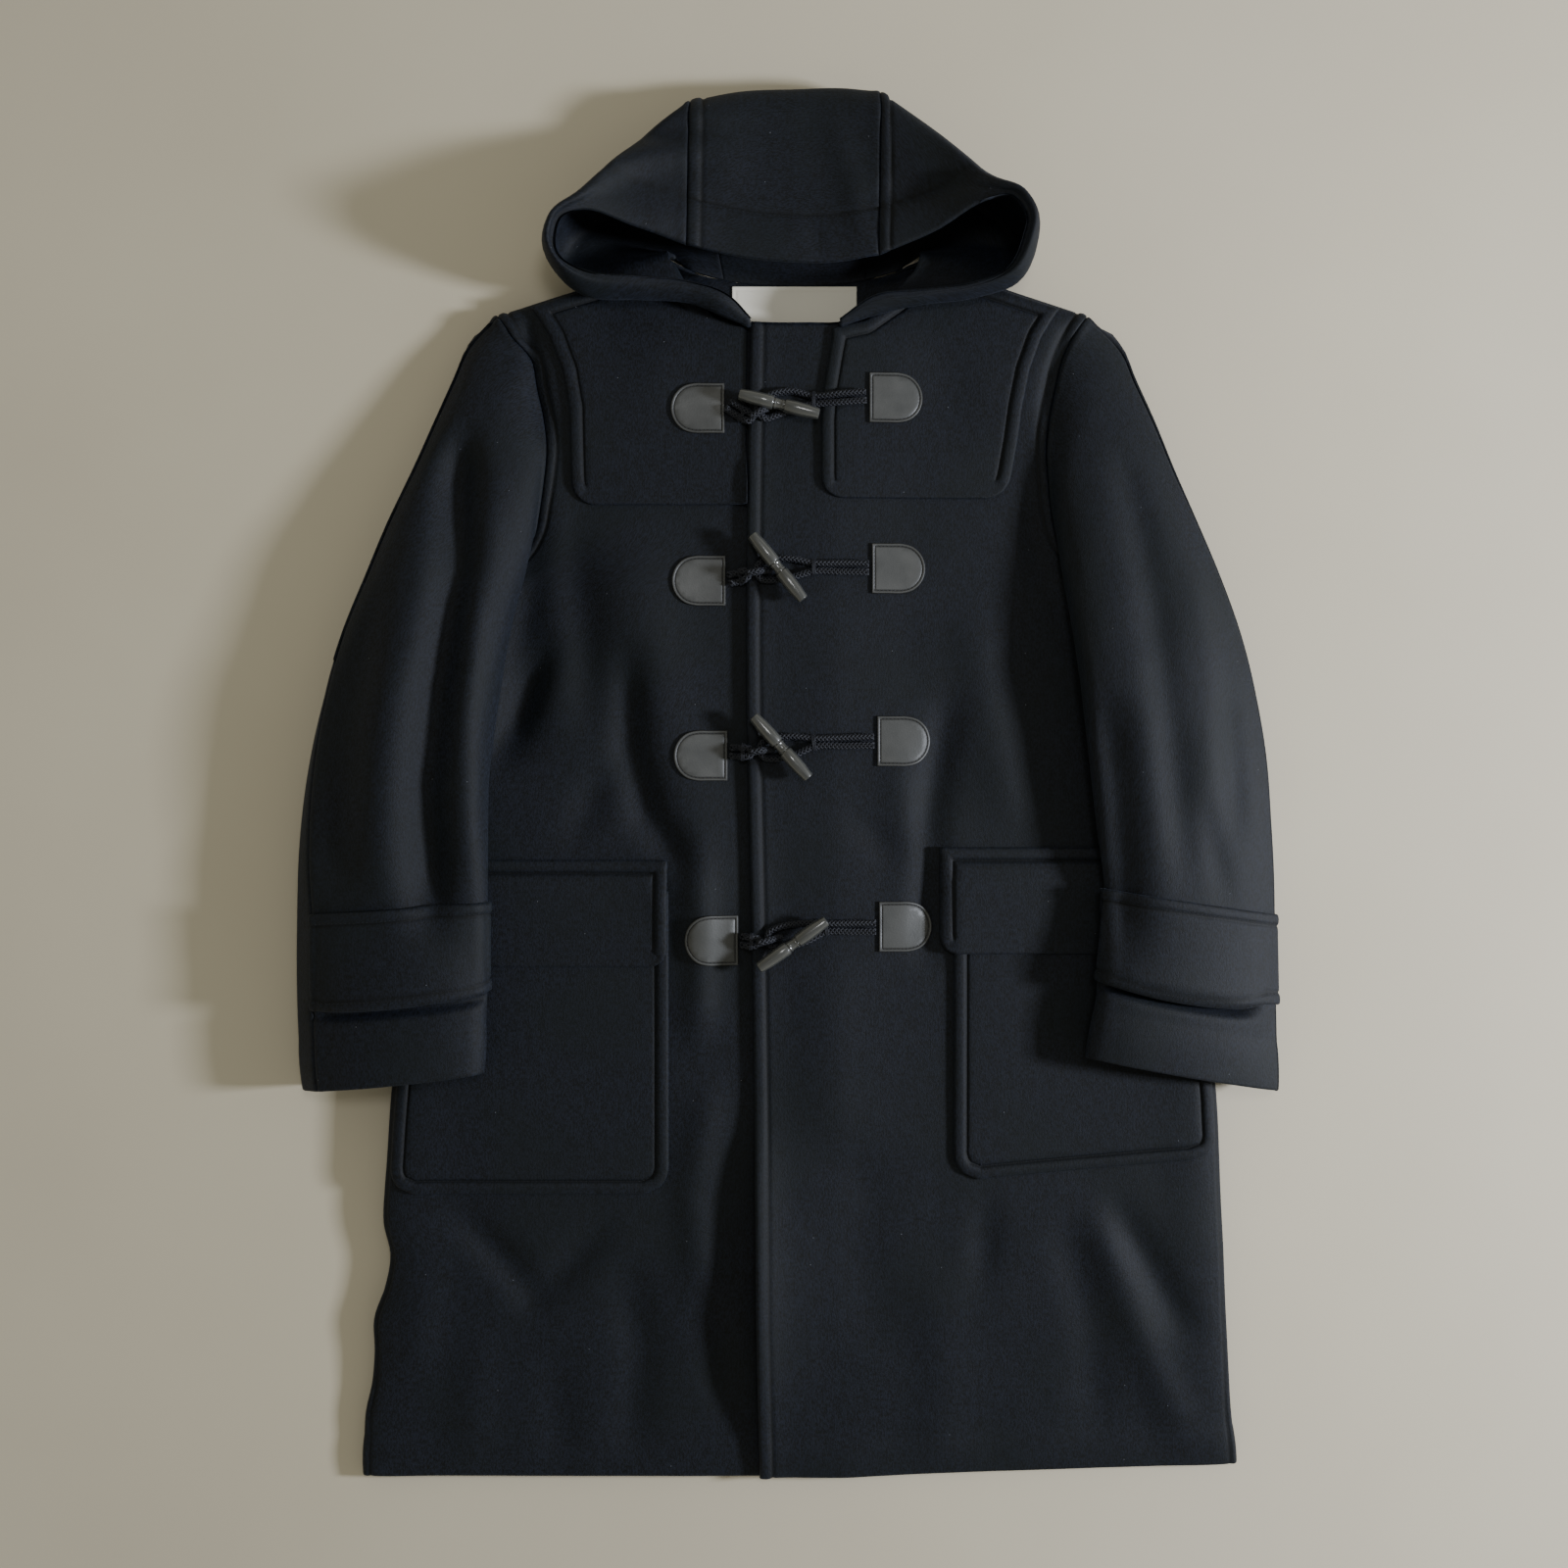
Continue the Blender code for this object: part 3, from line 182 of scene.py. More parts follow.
@dataclass(frozen=True)
class MeltonWool(Finish):
    """Melton: a heavy woollen cloth, fulled and cropped until its fibres hide the weave.

    The fulling gives a dull, almost black navy with a short nap that lies down the cloth and
    catches light at a slant. Pale lint clings to it here and there.
    """

    name: str = "navy_melton_wool_fulled"
    slot: str = "navy_wool"
    shade_colour: str = "#04070a"
    nap_colour: str = "#181e2a"
    green_cast: str = "#0d1517"
    lint_colour: str = "#6a6e76"
    sheen_colour: str = "#8a93a6"
    fibre: float = 0.0014  # tufts of nap; single fibres are too fine to show
    patch: float = 0.0055
    tufted: float = 0.8  # share of the tufts in the pattern; the rest is felted patches
    cloud: float = 0.11
    lint_spacing: float = 0.036
    lint_radius: float = 0.00036
    lint_share: float = 0.13  # of the places where a speck could be

    def shade(self, add: Adder) -> bpy.types.NodeSocket:
        """Build the nodes of the cloth.

        Args:
            add: The function that adds a node.

        Returns:
            The shader.
        """
        grain = add("Attribute", attribute_name="grain")["Vector"]
        groove = add("Attribute", attribute_name="groove")["Fac"]
        # the nap lies lengthwise, so its tufts are longer than they are wide
        down = add("Mapping", {"Vector": grain, "Scale": (1.0, 0.45, 1.0)})[0]
        fine = {"Vector": down, "Scale": 1 / self.fibre, "Detail": 4.0, "Roughness": 0.7}
        tufts = add("TexNoise", fine)["Fac"]
        felted = add("TexNoise", {"Vector": down, "Scale": 1 / self.patch, "Detail": 2.0})["Fac"]
        clouds = add("TexNoise", {"Vector": grain, "Scale": 1 / self.cloud, "Detail": 1.0})["Fac"]
        rest = add("Math", {0: felted, 1: 1 - self.tufted}, operation="MULTIPLY")[0]
        mixed = add("Math", {0: tufts, 1: self.tufted, 2: rest}, operation="MULTIPLY_ADD")[0]
        share = add("MapRange", {0: mixed, 1: 0.38, 2: 0.62}, interpolation_type="SMOOTHSTEP")[0]
        tones = {6: linear(self.shade_colour), 7: linear(self.nap_colour)}
        cloth = add("Mix", {0: share, **tones}, data_type="RGBA")[2]
        # two dye lots of fibre give the black its faint green and violet clouds
        lots = {0: clouds, 1: 0.42, 2: 0.66, 4: 0.4}
        cast = add("MapRange", lots, interpolation_type="SMOOTHSTEP")[0]
        dyed = add("Mix", {0: cast, 6: cloth, 7: linear(self.green_cast)}, data_type="RGBA")[2]
        # painted shade: the line of stitches is darkened towards the shade colour, standing in for the
        # shade that falls in its groove
        groove_shade_share = add("Math", {0: groove, 1: 0.85}, operation="MULTIPLY")[0]
        groove_shaded = add("Mix", {0: groove_shade_share, 6: dyed, 7: linear(self.shade_colour)}, data_type="RGBA")[2]
        spread = {"Vector": grain, "Scale": 1 / self.lint_spacing}
        cells = add("TexVoronoi", spread, voronoi_dimensions="2D")
        size = self.lint_radius / self.lint_spacing
        speck = add("Math", {0: cells["Distance"], 1: size}, operation="LESS_THAN")[0]
        chance = add("SeparateColor", {0: cells["Color"]})[0]
        kept = add("Math", {0: chance, 1: self.lint_share}, operation="LESS_THAN")[0]
        lint = add("Math", {0: speck, 1: kept}, operation="MULTIPLY")[0]
        colour = add("Mix", {0: lint, 6: groove_shaded, 7: linear(self.lint_colour)}, data_type="RGBA")[2]
        relief = add("Bump", {"Height": mixed, "Strength": 0.6, "Distance": 0.0008})[0]
        return add("BsdfPrincipled", {
            "Base Color": colour, "Normal": relief, "Roughness": 0.68, "Specular IOR Level": 0.25,
            "Diffuse Roughness": 1.0, "Sheen Weight": 0.06, "Sheen Roughness": 0.4,
            "Sheen Tint": linear(self.sheen_colour),
        })[0]


@dataclass(frozen=True)
class GrainLeather(Finish):
    """Cowhide, dyed charcoal and printed with a fine grain, then waxed.

    The print gives shallow pebbles under a half-dull skin, a little paler where it is rubbed.
    """

    name: str = "charcoal_cowhide_grained"
    slot: str = "charcoal_leather"
    valley_colour: str = "#2f3130"
    skin_colour: str = "#484948"
    ink_and_groove_shade_colour: str = "#1b1b1a"
    pebble: float = 0.0011
    rub: float = 0.022

    def shade(self, add: Adder) -> bpy.types.NodeSocket:
        """Build the nodes of the leather.

        Args:
            add: The function that adds a node.

        Returns:
            The shader.
        """
        grain = add("Attribute", attribute_name="grain")["Vector"]
        groove = add("Attribute", attribute_name="groove")["Fac"]
        rim = add("Attribute", attribute_name="rim")["Fac"]
        print_size = {"Vector": grain, "Scale": 1 / self.pebble}
        pebbles = add("TexVoronoi", print_size, feature="SMOOTH_F1")["Distance"]
        rubbed = add("TexNoise", {"Vector": grain, "Scale": 1 / self.rub, "Detail": 3.0})["Fac"]
        tone = add("MapRange", {0: rubbed, 1: 0.3, 2: 0.7, 3: 0.35, 4: 1.0})[0]
        tones = {6: linear(self.valley_colour), 7: linear(self.skin_colour)}
        skin = add("Mix", {0: tone, **tones}, data_type="RGBA")[2]
        # the cut edge is inked; the line of stitches is darkened with the same colour, as painted shade in
        # its trough
        dark = add("Math", {0: groove, 1: rim}, operation="MAXIMUM")[0]
        inked_and_groove_shaded = add("Mix", {0: dark, 6: skin, 7: linear(self.ink_and_groove_shade_colour)}, data_type="RGBA")[2]
        relief = add("Bump", {"Height": pebbles, "Strength": 0.35, "Distance": 0.0002})[0]
        dull = add("MapRange", {0: rubbed, 1: 0.3, 2: 0.7, 3: 0.58, 4: 0.44})[0]
        return add("BsdfPrincipled", {"Base Color": inked_and_groove_shaded, "Normal": relief, "Roughness": dull})[0]


@dataclass(frozen=True)
class TwoTone(Finish):
    """A finish of two mixed colours, whose pattern also raises the surface a little.

    Attributes:
        low_colour: Colour in the pattern's hollows.
        high_colour: Colour on its ridges.
        size: The pattern's size.
        detail: How many finer patterns are laid over it.
        raised: Strength and depth of its relief.
    """

    low_colour: str = "#000000"
    high_colour: str = "#ffffff"
    size: float = 0.001
    detail: float = 2.0
    raised: Plan = (0.0, 0.0)

    SHADER = {"Roughness": 0.5}

    def pattern(self, add: Adder) -> bpy.types.NodeSocket:
        """Fibres or clouds that run no way in particular.

        Args:
            add: The function that adds a node.

        Returns:
            The share of the second colour.
        """
        place = add("TexCoord")["Object"]
        inputs = {"Vector": place, "Scale": 1 / self.size, "Detail": self.detail}
        return add("TexNoise", inputs)["Fac"]

    def shade(self, add: Adder) -> bpy.types.NodeSocket:
        """Build the nodes of the two colours.

        Args:
            add: The function that adds a node.

        Returns:
            The shader.
        """
        share = self.pattern(add)
        tones = {6: linear(self.low_colour), 7: linear(self.high_colour)}
        inputs = {"Base Color": add("Mix", {0: share, **tones}, data_type="RGBA")[2], **self.SHADER}
        strength, depth = self.raised
        if strength:
            inputs["Normal"] = add("Bump", {"Height": share, "Strength": strength, "Distance": depth})[0]
        return add("BsdfPrincipled", inputs)[0]


@dataclass(frozen=True)
class WoollenYarn(TwoTone):
    """Navy yarn, plaited into cord or doubled into thread: soft fibres with a dull lustre."""

    name: str = "navy_yarn_plaited"
    slot: str = "navy_braid"
    low_colour: str = "#0c0d12"
    high_colour: str = "#262932"
    size: float = 0.0006
    raised: Plan = (0.4, 0.0002)

    SHADER = {"Roughness": 0.62, "Specular IOR Level": 0.35, "Sheen Weight": 0.15,
              "Sheen Roughness": 0.4, "Sheen Tint": linear("#9aa0b0")}


@dataclass(frozen=True)
class BuffaloHorn(TwoTone):
    """Dark horn, turned and polished: near black, with faint fibres and hairlines along it."""

    name: str = "dark_horn_turned"
    slot: str = "black_horn"
    low_colour: str = "#282a2a"
    high_colour: str = "#4f504d"
    size: float = 0.0012
    detail: float = 3.0
    raised: Plan = (0.12, 0.0001)
    drawn_out: float = 0.06  # how much slower the fibres change along the horn

    SHADER = {"IOR": 1.56, "Roughness": 0.3, "Coat Weight": 1.0, "Coat Roughness": 0.09}

    def pattern(self, add: Adder) -> bpy.types.NodeSocket:
        """Fibres along the horn.

        Args:
            add: The function that adds a node.

        Returns:
            The share of the second colour.
        """
        grain = add("Attribute", attribute_name="grain")["Vector"]
        along = add("Mapping", {"Vector": grain, "Scale": (self.drawn_out, 1.0, 1.0)})[0]
        inputs = {"Vector": along, "Scale": 1 / self.size, "Detail": self.detail}
        return add("TexNoise", inputs)["Fac"]


@dataclass(frozen=True)
class WovenTape(TwoTone):
    """White woven tape: fine ribs across a bright, slightly warm ground."""

    name: str = "white_rayon_tape_woven"
    slot: str = "white_tape"
    low_colour: str = "#f1ecdb"
    high_colour: str = "#fbf7ea"
    size: float = 0.0008  # drawn twice as coarse as the real ribs, so that they show
    raised: Plan = (0.3, 0.0001)

    SHADER = {"Roughness": 0.55, "Sheen Weight": 0.2}

    def pattern(self, add: Adder) -> bpy.types.NodeSocket:
        """Ribs across the tape.

        Args:
            add: The function that adds a node.

        Returns:
            The share of the second colour.
        """
        grain = add("Attribute", attribute_name="grain")["Vector"]
        ribs = {"Vector": grain, "Scale": math.pi / 10 / self.size, "Distortion": 0.3}
        return add("TexWave", ribs, bands_direction="Y")["Fac"]


@dataclass(frozen=True)
class PlainFloor(TwoTone):
    """A plain pale floor of trowelled plaster, with barely seen clouds."""

    name: str = "pale_plaster_trowelled"
    slot: str = ""
    low_colour: str = "#c3baa5"
    high_colour: str = "#cfc7b2"
    size: float = 0.25
    detail: float = 5.0

    SHADER = {"Roughness": 0.75}


WOOL, LEATHER, YARN, HORN, TAPE = MeltonWool(), GrainLeather(), WoollenYarn(), BuffaloHorn(), WovenTape()


# Curves, creases and grids of points


def along(levels: Sequence[float], values: Sequence[float], level: float) -> float:
    """Read a smooth curve through a table's points.

    Args:
        levels: Rising levels of the table.
        values: Value at each level.
        level: Where the curve is read.

    Returns:
        The value there.
    """
    at = np.asarray(levels)
    grid = np.asarray(values, float).reshape(-1, 1, 1)
    return float(spline(grid, at, np.array([min(max(level, at[0]), at[-1])]))[0, 0, 0])


def spline(points: Array, at: Array, wanted: Array) -> Array:
    """Read smooth curves through the rows of a grid at new places.

    Args:
        points: Rows x columns x values.
        at: Running place of each row.
        wanted: Places at which the curves are read.

    Returns:
        The grid with one row for each wanted place.
    """
    slopes = np.gradient(points, at, axis=0)
    i = np.clip(np.searchsorted(at, wanted, side="right") - 1, 0, len(at) - 2)
    span = (at[i + 1] - at[i])[:, None, None]
    t = (wanted - at[i])[:, None, None] / span
    rise = (1 + 2 * t) * (1 - t) ** 2 * points[i] + t * t * (3 - 2 * t) * points[i + 1]
    return rise + span * (t * (1 - t) ** 2 * slopes[i] - t * t * (1 - t) * slopes[i + 1])


def smooth_step(value: Array, low: float, high: float) -> Array:
    """Ease from 0 at the low value to 1 at the high one."""
    share = np.clip((value - low) / (high - low), 0.0, 1.0)
    return share * share * (3 - 2 * share)


def near_path(x: Array, y: Array, path: Sequence[Plan]) -> tuple[Array, Array]:
    """Measure spots of the plan against a path.

    Args:
        x: Places across.
        y: Places along.
        path: The path's points.

    Returns:
        The distance of each spot, and the share of the path's length at which it is nearest.
    """
    steps = [math.dist(a, b) for a, b in zip(path, path[1:])]
    best = np.full(np.shape(x), np.inf)
    share = np.zeros(np.shape(x))
    run = 0.0
    for (ax, ay), (bx, by), step in zip(path, path[1:], steps):
        t = np.clip(((x - ax) * (bx - ax) + (y - ay) * (by - ay)) / step**2, 0.0, 1.0)
        off = np.hypot(x - ax - t * (bx - ax), y - ay - t * (by - ay))
        nearer = off < best
        best = np.where(nearer, off, best)
        share = np.where(nearer, (run + t * step) / sum(steps), share)
        run += step
    return best, share


@dataclass(frozen=True)
class Crease:
    """A soft ridge or trough in the cloth, along a path in plan.

    Attributes:
        path: Its points.
        height: Its greatest height; a trough's is negative.
        width: Half its width.
        tail: Length over which it dies away past its ends.
    """

    path: tuple[Plan, ...]
    height: float
    width: float
    tail: float = 0.03

    def lift(self, x: Array, y: Array) -> Array:
        """Height that the crease adds at spots of the plan.

        Args:
            x: Places across.
            y: Places along.

        Returns:
            The height at each spot.
        """
        path = self.long_path()
        off, share = near_path(x, y, path)
        length = sum(math.dist(a, b) for a, b in zip(path, path[1:]))
        ends = smooth_step(np.minimum(share, 1 - share) * length, 0.0, 2 * self.tail)
        return self.height * np.exp(-((off / self.width) ** 2)) * ends

    def long_path(self) -> list[Plan]:
        """The path, run on at both ends by the tail.

        Returns:
            Its points.
        """
        ends = []
        for near, far in ((self.path[0], self.path[1]), (self.path[-1], self.path[-2])):
            step = math.dist(near, far)
            ends.append(
                (near[0] + (near[0] - far[0]) / step * self.tail,
                 near[1] + (near[1] - far[1]) / step * self.tail)
            )
        return [ends[0], *self.path, ends[1]]


def ripple(x: Array, y: Array, size: float, seed: int) -> Array:
    """Smooth, uneven swells between -1 and 1.

    Args:
        x: Places across.
        y: Places along.
        size: Length of a swell.
        seed: Number of the pattern.

    Returns:
        The swell at each place.
    """
    column, row = np.floor(x / size), np.floor(y / size)
    across, up = smooth_step(x / size - column, 0, 1), smooth_step(y / size - row, 0, 1)

    def corner(right: int, above: int) -> Array:
        """A fixed random value at one corner of the cell."""
        # any large, unrelated factors do: they only scatter the corners
        mixed = np.sin((column + right) * 127.1 + (row + above) * 311.7 + seed * 74.7) * 43758.5453
        return 2 * (mixed - np.floor(mixed)) - 1

    low = corner(0, 0) * (1 - across) + corner(1, 0) * across
    high = corner(0, 1) * (1 - across) + corner(1, 1) * across
    return low * (1 - up) + high * up


@dataclass(frozen=True)
class Relief:
    """How a stretch of cloth has been creased, above one height of the coat.

    Attributes:
        creases: Its ridges and troughs.
        swells: Length and height of its uneven swells.
        low: Height up to which nothing is moved.
        high: Height from which all of it is.
        seed: Number of the swells' pattern.
    """

    creases: tuple[Crease, ...]
    swells: tuple[Plan, ...] = mm((95, 0.7), (41, 0.4), (17, 0.12))
    low: float = 0.004
    high: float = 0.012
    seed: int = 1

    def move(self, points: Array) -> Array:
        """Lift or sink points by the relief.

        Args:
            points: An array of points.

        Returns:
            The moved points.
        """
        x, y, z = points[..., 0], points[..., 1], points[..., 2]
        lift = sum(crease.lift(x, y) for crease in self.creases)
        for number, (size, height) in enumerate(self.swells):
            lift = lift + height * ripple(x, y, size, self.seed + number)
        moved = points.copy()
        moved[..., 2] = z + lift * smooth_step(z, self.low, self.high)
        return moved


def turns(before: Array, after: Array) -> Array:
    """Angles from one row of directions in plan to another, anticlockwise."""
    cross = before[:, 0] * after[:, 1] - before[:, 1] * after[:, 0]
    return np.arctan2(cross, (before * after).sum(axis=1))


def unit(vectors: Array) -> Array:
    """The same directions with a length of one."""
    return vectors / np.maximum(np.linalg.norm(vectors, axis=-1, keepdims=True), 1e-12)


def across_normals(points: Array) -> Array:
    """Unit normals of a grid: its columns crossed with its rows."""
    return unit(np.cross(np.gradient(points, axis=1), np.gradient(points, axis=0)))


def running(points: Array, axis: int) -> Array:
    """Running length along one axis of a grid, at each of its points.

    Args:
        points: Rows x columns x values.
        axis: 0 from row to row and 1 from column to column.

    Returns:
        Rows x columns lengths.
    """
    steps = np.linalg.norm(np.diff(points, axis=axis), axis=2)
    pad = [(0, 0), (0, 0)]
    pad[axis] = (1, 0)
    return np.pad(np.cumsum(steps, axis=axis), pad)


def lengths(line: Array) -> Array:
    """Running length of a line, at each of its points."""
    return running(line[:, None], 0)[:, 0]


# Meshes


def closed_wall(bm: bmesh.types.BMesh, outer: Array, inner: Array) -> Array:
    """Close a flat sheet into a wall and move its two sides into place.

    Args:
        bm: A sheet in the plan, facing up; it becomes the wall.
        outer: Place of each of its points on the outer side.
        inner: Place of each on the inner side.

    Returns:
        The number of the sheet's point at each point of the wall, plus the count of the
        sheet's points on the inner side.
    """
    number = bm.verts.layers.int.new("number")
    for index, vertex in enumerate(bm.verts):
        vertex[number] = index
    count = len(bm.verts)
    made = bmesh.ops.extrude_face_region(bm, geom=list(bm.faces), use_keep_orig=True)
    below = [v for v in made["geom"] if isinstance(v, bmesh.types.BMVert)]
    for vertex in below:
        vertex.co.z -= 1.0
        vertex[number] += count
    bmesh.ops.recalc_face_normals(bm, faces=list(bm.faces))
    places = np.concatenate([outer, inner])
    order = [vertex[number] for vertex in bm.verts]
    for vertex, index in zip(bm.verts, order):
        vertex.co = places[index]
    return np.array(order)


def add_object(name: str, data: bpy.types.ID) -> bpy.types.Object:
    """Add an object to the scene.

    Args:
        name: Its name.
        data: Its mesh, lamp, curve or camera.

    Returns:
        The object.
    """
    item = bpy.data.objects.new(name, data)
    bpy.context.scene.collection.objects.link(item)
    return item


def place_mesh(bm: bmesh.types.BMesh, name: str, finish: Finish) -> bpy.types.Object:
    """Make a smooth object of a bmesh and free the bmesh.

    Args:
        bm: The shape, in the coat's frame.
        name: The object's name.
        finish: Its finish.

    Returns:
        The object.
    """
    mesh = bpy.data.meshes.new(name)
    bm.to_mesh(mesh)
    bm.free()
    mesh.shade_smooth()
    mesh.materials.append(finish.material())
    return add_object(name, mesh)


def store(item: bpy.types.Object, name: str, values: Array) -> None:
    """Keep a number or a vector at each point of a mesh, for its material.

    Args:
        item: The object.
        name: The attribute's name.
        values: One row for each point.
    """
    kind, field_name = ("FLOAT", "value") if values.ndim == 1 else ("FLOAT_VECTOR", "vector")
    attribute = item.data.attributes.new(name, kind, "POINT")
    attribute.data.foreach_set(field_name, values.astype(np.float32).ravel())


def belong(item: bpy.types.Object, finish: Finish, *nodes: str) -> bpy.types.Object:
    """Attach a piece to the coat's body and hide the CAD nodes that it stands for.

    Args:
        item: The piece.
        finish: Its finish; not used.
        *nodes: The CAD nodes that it replaces.

    Returns:
        The piece.
    """
    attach(item, ROOT)
    if nodes:
        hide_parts(*nodes)
    log.info("%s: %d faces", item.name, len(item.data.polygons))
    return item


class Ground:
    """What a piece lies on: the surfaces below it, met from above."""

    def __init__(self) -> None:
        """Start with the bare surface under the coat."""
        self.trees: list[BVHTree] = []

    def add(self, *items: bpy.types.Object) -> "Ground":
        """Add the meshes of some objects.

        Args:
            *items: The objects.

        Returns:
            This ground.
        """
        for item in items:
            bm = bmesh.new()
            bm.from_mesh(item.data)
            self.trees.append(BVHTree.FromBMesh(bm))
            bm.free()
        return self

    def joined(self, other: "Ground") -> "Ground":
        """This ground and another one together.

        Args:
            other: The other one.

        Returns:
            A new ground.
        """
        both = Ground()
        both.trees = self.trees + other.trees
        return both

    def height(self, x: float, y: float, reach: float = 0.0, rings: Sequence[float] = (1.0,)) -> float:
        """Highest surface at a spot of the plan and round it.

        Args:
            x: Place across.
            y: Place along.
            reach: How far round the spot it is looked for.
            rings: Shares of the reach at which it is.

        Returns:
            The height.
        """
        spots = [(x, y)]
        if reach:
            for ring in rings:
                spots += [
                    (x + ring * reach * math.cos(a), y + ring * reach * math.sin(a))
                    for a in np.linspace(0, 2 * math.pi, 8, endpoint=False)
                ]
        best = 0.0
        for spot in spots:
            for tree in self.trees:
                hit = tree.ray_cast(Vector((*spot, 0.5)), Vector((0, 0, -1)))[0]
                if hit:
                    best = max(best, hit.z)
        return best


@dataclass(frozen=True)
class Welt:
    """How the cloth swells beside an edge, out to its line of stitches.

    Attributes:
        inset: Distance of the stitches from the edge; 0 for a plain seam.
        puff: Height of the swell.
        groove: Depth of the line of stitches.
        round: Radius of the edge.
        line: Half width of the groove.
    """

    inset: float = 0.0
    puff: float = 0.0
    groove: float = 0.0
    round: float = 0.0011
    line: float = 0.0011

    FULL = 0.7  # the lower, the fuller the swell

    def rise(self, off: Array) -> Array:
        """Height of the outer side at a distance from the edge.

        Args:
            off: Distances from the edge.

        Returns:
            The height at each.
        """
        inside = np.clip(self.round - off, 0.0, self.round)
        height = np.sqrt(np.maximum(self.round**2 - inside**2, 0.0)) - self.round
        if self.inset:
            share = np.clip(off / self.inset, 0.0, 1.0)
            height = height + self.puff * np.sin(math.pi * share) ** self.FULL
            height = height - self.groove * self.closeness(off)
        return height

    def closeness(self, off: Array) -> Array:
        """How near a place is to the line of stitches, from 0 to 1.

        Args:
            off: Distances from the edge.

        Returns:
            The nearness at each.
        """
        if not self.groove:
            return np.zeros_like(off)
        return np.exp(-(((off - self.inset) / self.line) ** 2))


SEAM = Welt(*mm(7, 0.8, 0, 1.4))
HEM = Welt(*mm(34, 1, 0, 1.4))


# A panel is a wall of cloth whose outer side is a grid of points


@dataclass
class Panel:
    """One cut piece of cloth, laid out from coarse rows of points on its outer side.

    Attributes:
        node: The CAD node that it stands for.
        coarse: Rows x columns x 3 points; the columns crossed with the rows point off the wall.
        cell: Size of its faces.
        reliefs: How it has been creased.
        welts: The edges that aren't plain seams.
        fine: Edges along which the faces are small.
        band: Width of the band in which they are.
        rests_on: Pieces that it lies on; not used.
        shape: A last change of the fine points, from their grid.
    """

    node: str
    coarse: Array
    cell: float = 0.005
    reliefs: tuple[Relief, ...] = ()
    welts: dict[Edge, Welt] = field(default_factory=dict)
    fine: tuple[Edge, ...] = ()
    band: float = 0.018
    rests_on: tuple[str, ...] = ()
    shape: Callable[[Array], Array] | None = None
    outer: Array = field(init=False)

    SMALL = 0.0016
    RIM = (0.0003, 0.0008, 0.0016, 0.0028)  # extra rows beside a rim
    CLOSEST = 0.00021  # between two rows
    TUCK = 0.35  # how far the underside turns up at an edge, of the upper side's rounding

    def lay(self) -> bpy.types.Object:
        """Returns:
            The piece.
        """
        points = self.fine_points()
        for relief in self.reliefs:
            points = relief.move(points)
        if self.shape:
            points = self.shape(points)
        points[..., 2] = np.maximum(points[..., 2], 0.0)
        offs = self.distances(points)
        rise = sum(self.welts.get(edge, SEAM).rise(off) for edge, off in offs.items())
        groove = sum(self.welts.get(edge, SEAM).closeness(off) for edge, off in offs.items())
        normal = across_normals(points)
        nearest = np.minimum.reduce(list(offs.values()))
        tuck = self.TUCK * np.clip(SEAM.round - nearest, 0.0, None)
        self.outer = points + normal * rise[..., None]
        inner = points - normal * (CLOTH - tuck)[..., None]
        for face in (self.outer, inner):
            face[..., 2] = np.maximum(face[..., 2], 0.0)
        rows, columns = points.shape[:2]
        bm = bmesh.new()
        bmesh.ops.create_grid(bm, x_segments=columns - 1, y_segments=rows - 1, size=1.0)
        place = [
            round((v.co.y + 1) / 2 * (rows - 1)) * columns + round((v.co.x + 1) / 2 * (columns - 1))
            for v in bm.verts
        ]
        order = closed_wall(bm, self.outer.reshape(-1, 3)[place], inner.reshape(-1, 3)[place])
        count = rows * columns
        index = np.array(place)[order % count]
        item = place_mesh(bm, f"{self.node}_cloth", WOOL)
        grain = np.stack([running(points, 1), running(points, 0), np.zeros((rows, columns))], axis=2)
        store(item, "grain", grain.reshape(-1, 3)[index] + self.grain_offset())
        store(item, "groove", np.where(order < count, groove.ravel()[index], 0.0))
        belong(item, WOOL, self.node)
        return item

    def fine_points(self) -> Array:
        """The grid, smoothly refined along both of its axes.

        Returns:
            Rows x columns x 3 points.
        """
        points = self.coarse
        for first, last in ((Edge.FIRST_ROW, Edge.LAST_ROW), (Edge.FIRST_COLUMN, Edge.LAST_COLUMN)):
            steps = np.linalg.norm(np.diff(points, axis=0), axis=2).mean(axis=1)
            at = np.concatenate([[0.0], np.cumsum(steps)])
            points = spline(points, at, self.paces(at[-1], first in self.fine, last in self.fine))
            points = points.transpose(1, 0, 2)
        return self.drawn_in(points)

    def paces(self, total: float, fine_first: bool, fine_last: bool) -> Array:
        """Places of the fine rows.

        Args:
            total: Length to be divided.
            fine_first: Whether the faces are small at its start.
            fine_last: Whether they are at its end.

        Returns:
            The running length at each row, with extra rows round both rims.
        """
        marks = [0.0]
        while marks[-1] < total - self.SMALL:
            here = marks[-1]
            near = (fine_first and here < self.band) or (fine_last and total - here < self.band)
            left = total - here - (self.band if fine_last and not near else 0.0)
            marks.append(here + (self.SMALL if near else min(self.cell, max(left, self.SMALL))))
        marks[-1] = total
        marks += [*self.RIM, *(total - step for step in self.RIM)]
        kept = [0.0]
        for mark in sorted(marks):
            if mark - kept[-1] > self.CLOSEST and total - mark >= 0.0:
                kept.append(mark)
        kept[-1] = total
        return np.array(kept)

    def drawn_in(self, points: Array) -> Array:
        """The grid with its four edges moved in by half the seam gap.

        Args:
            points: The grid.

        Returns:
            The moved grid.
        """
        points = points.copy()
        for _ in range(2):
            for edge, beside in ((0, 1), (-1, -2)):
                points[edge] += unit(points[beside] - points[edge]) * SEAM_GAP / 2
            points = points.transpose(1, 0, 2).copy()
        return points

